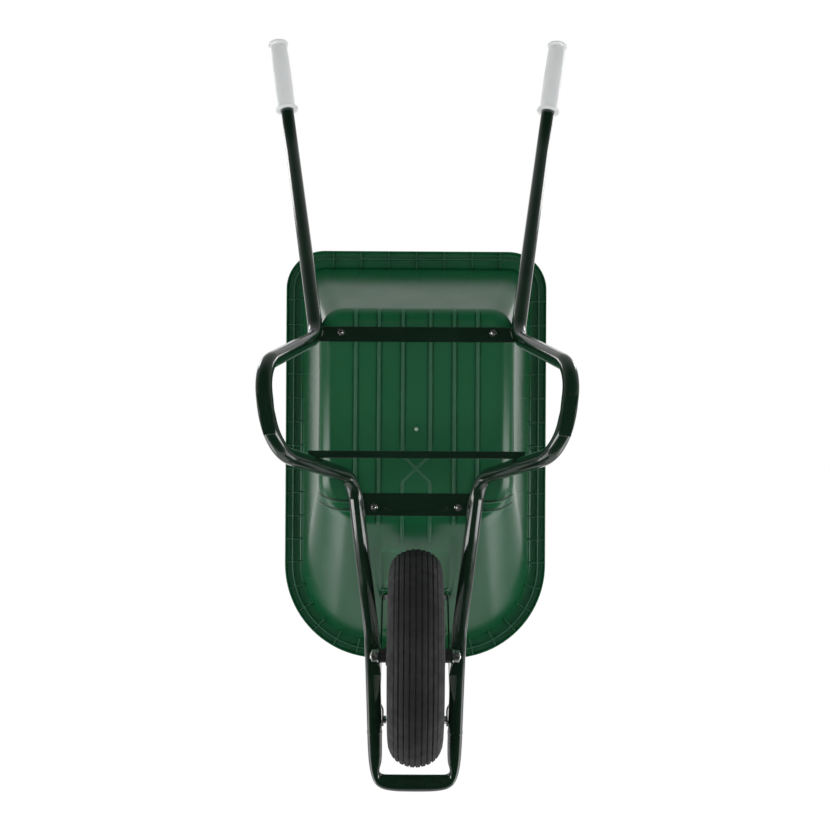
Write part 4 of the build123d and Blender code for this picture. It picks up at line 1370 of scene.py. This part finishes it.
def build_camera():
    """Looks straight up from below the barrow, as the photographed view does."""
    data = bpy.data.cameras.new("camera")
    data.sensor_width = SENSOR
    data.lens = LENS
    camera = placed("camera", data)
    x, y, z = (radians(t) for t in CAMERA_TURNS)
    turn = Matrix.Rotation(z, 3, "Z") @ Matrix.Rotation(y, 3, "Y") @ Matrix.Rotation(x, 3, "X")
    axes = Matrix((-turn[0], turn[1], -turn[2])).transposed()
    camera.matrix_world = Matrix.Translation(CAMERA_AT) @ axes.to_4x4()
    bpy.context.scene.camera = camera


def area_light(name, at, size, power):
    """A rectangular light that points at the middle of the barrow and that the camera doesn't see."""
    data = bpy.data.lights.new(name, "AREA")
    data.shape = "RECTANGLE"
    data.size, data.size_y = size
    data.energy = power
    data.spread = radians(180)
    light = placed(name, data)
    light.location = at
    light.rotation_mode = "QUATERNION"
    light.rotation_quaternion = (Vector(LIT_POINT) - Vector(at)).to_track_quat("-Z", "Y")
    light.visible_camera = False
    return light


def build_floor():
    """Pale studio floor that shows only from above."""
    mesh = bpy.data.meshes.new("studio_floor")
    corners = [(x * FLOOR_REACH, y * FLOOR_REACH, 0) for x, y in ((-1, -1), (1, -1), (1, 1), (-1, 1))]
    mesh.from_pydata(corners, [], [(0, 1, 2, 3)])
    floor = placed("studio_floor", mesh)
    paint = Finish("studio_floor", (0.80, 0.80, 0.79), 0.7)
    paint.bump((40, 3), 0.0005, 0.1)
    clear = paint.add("ShaderNodeBsdfTransparent")
    facing = paint.add("ShaderNodeNewGeometry")
    sides = {"Fac": facing.outputs["Backfacing"], 1: paint.shader.outputs["BSDF"], 2: clear.outputs["BSDF"]}
    blend = paint.add("ShaderNodeMixShader", sides)
    paint.link(blend.outputs["Shader"], paint.tree.nodes["Material Output"].inputs["Surface"])
    mesh.materials.append(paint.material)
    floor.visible_shadow = False
    floor.visible_glossy = False
    floor.visible_diffuse = False


def build_world():
    """White backdrop for the camera, a softer one for light and reflections, dark round the sides."""
    world = bpy.data.worlds.new("studio")
    bpy.context.scene.world = world
    world.use_nodes = True
    sky = Nodes(world.node_tree)
    back = sky.tree.nodes["Background"]
    back.inputs["Color"].default_value = (1, 1, 1, 1)
    back.inputs["Strength"].default_value = 1.0
    place = sky.add("ShaderNodeTexCoord").outputs["Generated"]
    upward = sky.add("ShaderNodeSeparateXYZ", {"Vector": place}).outputs["Z"]
    height = sky.add("ShaderNodeMapRange", {"Value": upward, "From Min": -1.0})
    ramp = sky.add("ShaderNodeValToRGB", {"Fac": height.outputs["Result"]})
    elements = ramp.color_ramp.elements
    for k, (position, level) in enumerate(SKY_LEVELS):
        element = elements[k] if k < 2 else elements.new(position)
        element.color = (level, level, level, 1)
    soft = sky.add("ShaderNodeBackground", {"Color": ramp.outputs["Color"], "Strength": 1.0})
    seen = sky.add("ShaderNodeLightPath").outputs["Is Camera Ray"]
    parts = {"Fac": seen, 1: soft.outputs["Background"], 2: back.outputs["Background"]}
    blend = sky.add("ShaderNodeMixShader", parts)
    sky.link(blend.outputs["Shader"], sky.tree.nodes["World Output"].inputs["Surface"])


def build_lights():
    for name, side in SIDES.items():
        area_light(f"{name}_softbox_below", (side * 2.15, -0.45, -0.70), (0.62, 2.1), 25)
        area_light(f"{name}_corner_panel", (side * 2.5, -2.2, 0.75), (2.2, 1.8), 22)
        area_light(f"{name}_softbox_above", (side * 2.2, 1.5, 2.2), (0.6, 1.4), 10)
    area_light("front_panel", (0, -3.0, 0.4), (6.0, 2.0), 20)
    fills = [
        area_light("overhead", (0, 0.2, 3.0), (2.4, 2.4), 60),
        area_light("rear_fill", (0, 3.3, 0.9), (2.0, 1.2), 40),
        area_light("under_fill", (0, -0.1, -2.6), (2.4, 2.4), 47),
    ]
    for light in fills:
        light.visible_glossy = False


# --- put together ------------------------------------------------------------------------------------
def build():
    random.seed(7)
    finish_cad_nodes()
    tray = build_tray()
    tray.piece("tray_moulding", PLASTIC, "tray_plastic", ["tray"], sharp=60)
    underside = Underside(tray)
    # painted shade: dark strips in the inner corners of the steps
    build_step_shade_strips(underside).piece("tray_step_shade_strips", CREASE_SHADE, "tray_plastic", sharp=60)
    # painted highlight: the ribs, steps, ledge and ticks are paler than the floor
    build_tray_ribs(underside).piece("tray_floor_ribs", PALE_HIGHLIGHT, "tray_plastic", sharp=30)
    build_gate_mark()
    # painted highlight: the rim webs are paler than the tray
    build_rim_webs().piece("tray_rim_webs", PALE_HIGHLIGHT, "tray_plastic", sharp=50)
    for side_name, side in SIDES.items():
        tube = build_side_tube(side)
        tube.piece(f"{side_name}_tube_bent", ENAMEL, "frame_paint", [f"{side_name}_frame_tube"])
        build_grip(side_name, side)
    build_nose_loop().piece("nose_loop_pressed", ENAMEL, "frame_paint", ["nose_loop"])
    build_sleeve_rims().piece("sleeve_rims", ENAMEL, "frame_paint")
    build_welds().piece("frame_welds", ENAMEL, "frame_paint", sharp=70)
    build_tray_fasteners()
    build_stay_fasteners()
    build_axle_nuts()
    build_rim_fasteners()
    build_tyre()
    build_camera()
    build_floor()
    build_world()
    build_lights()
    bpy.context.scene.view_settings.view_transform = "Standard"


build()
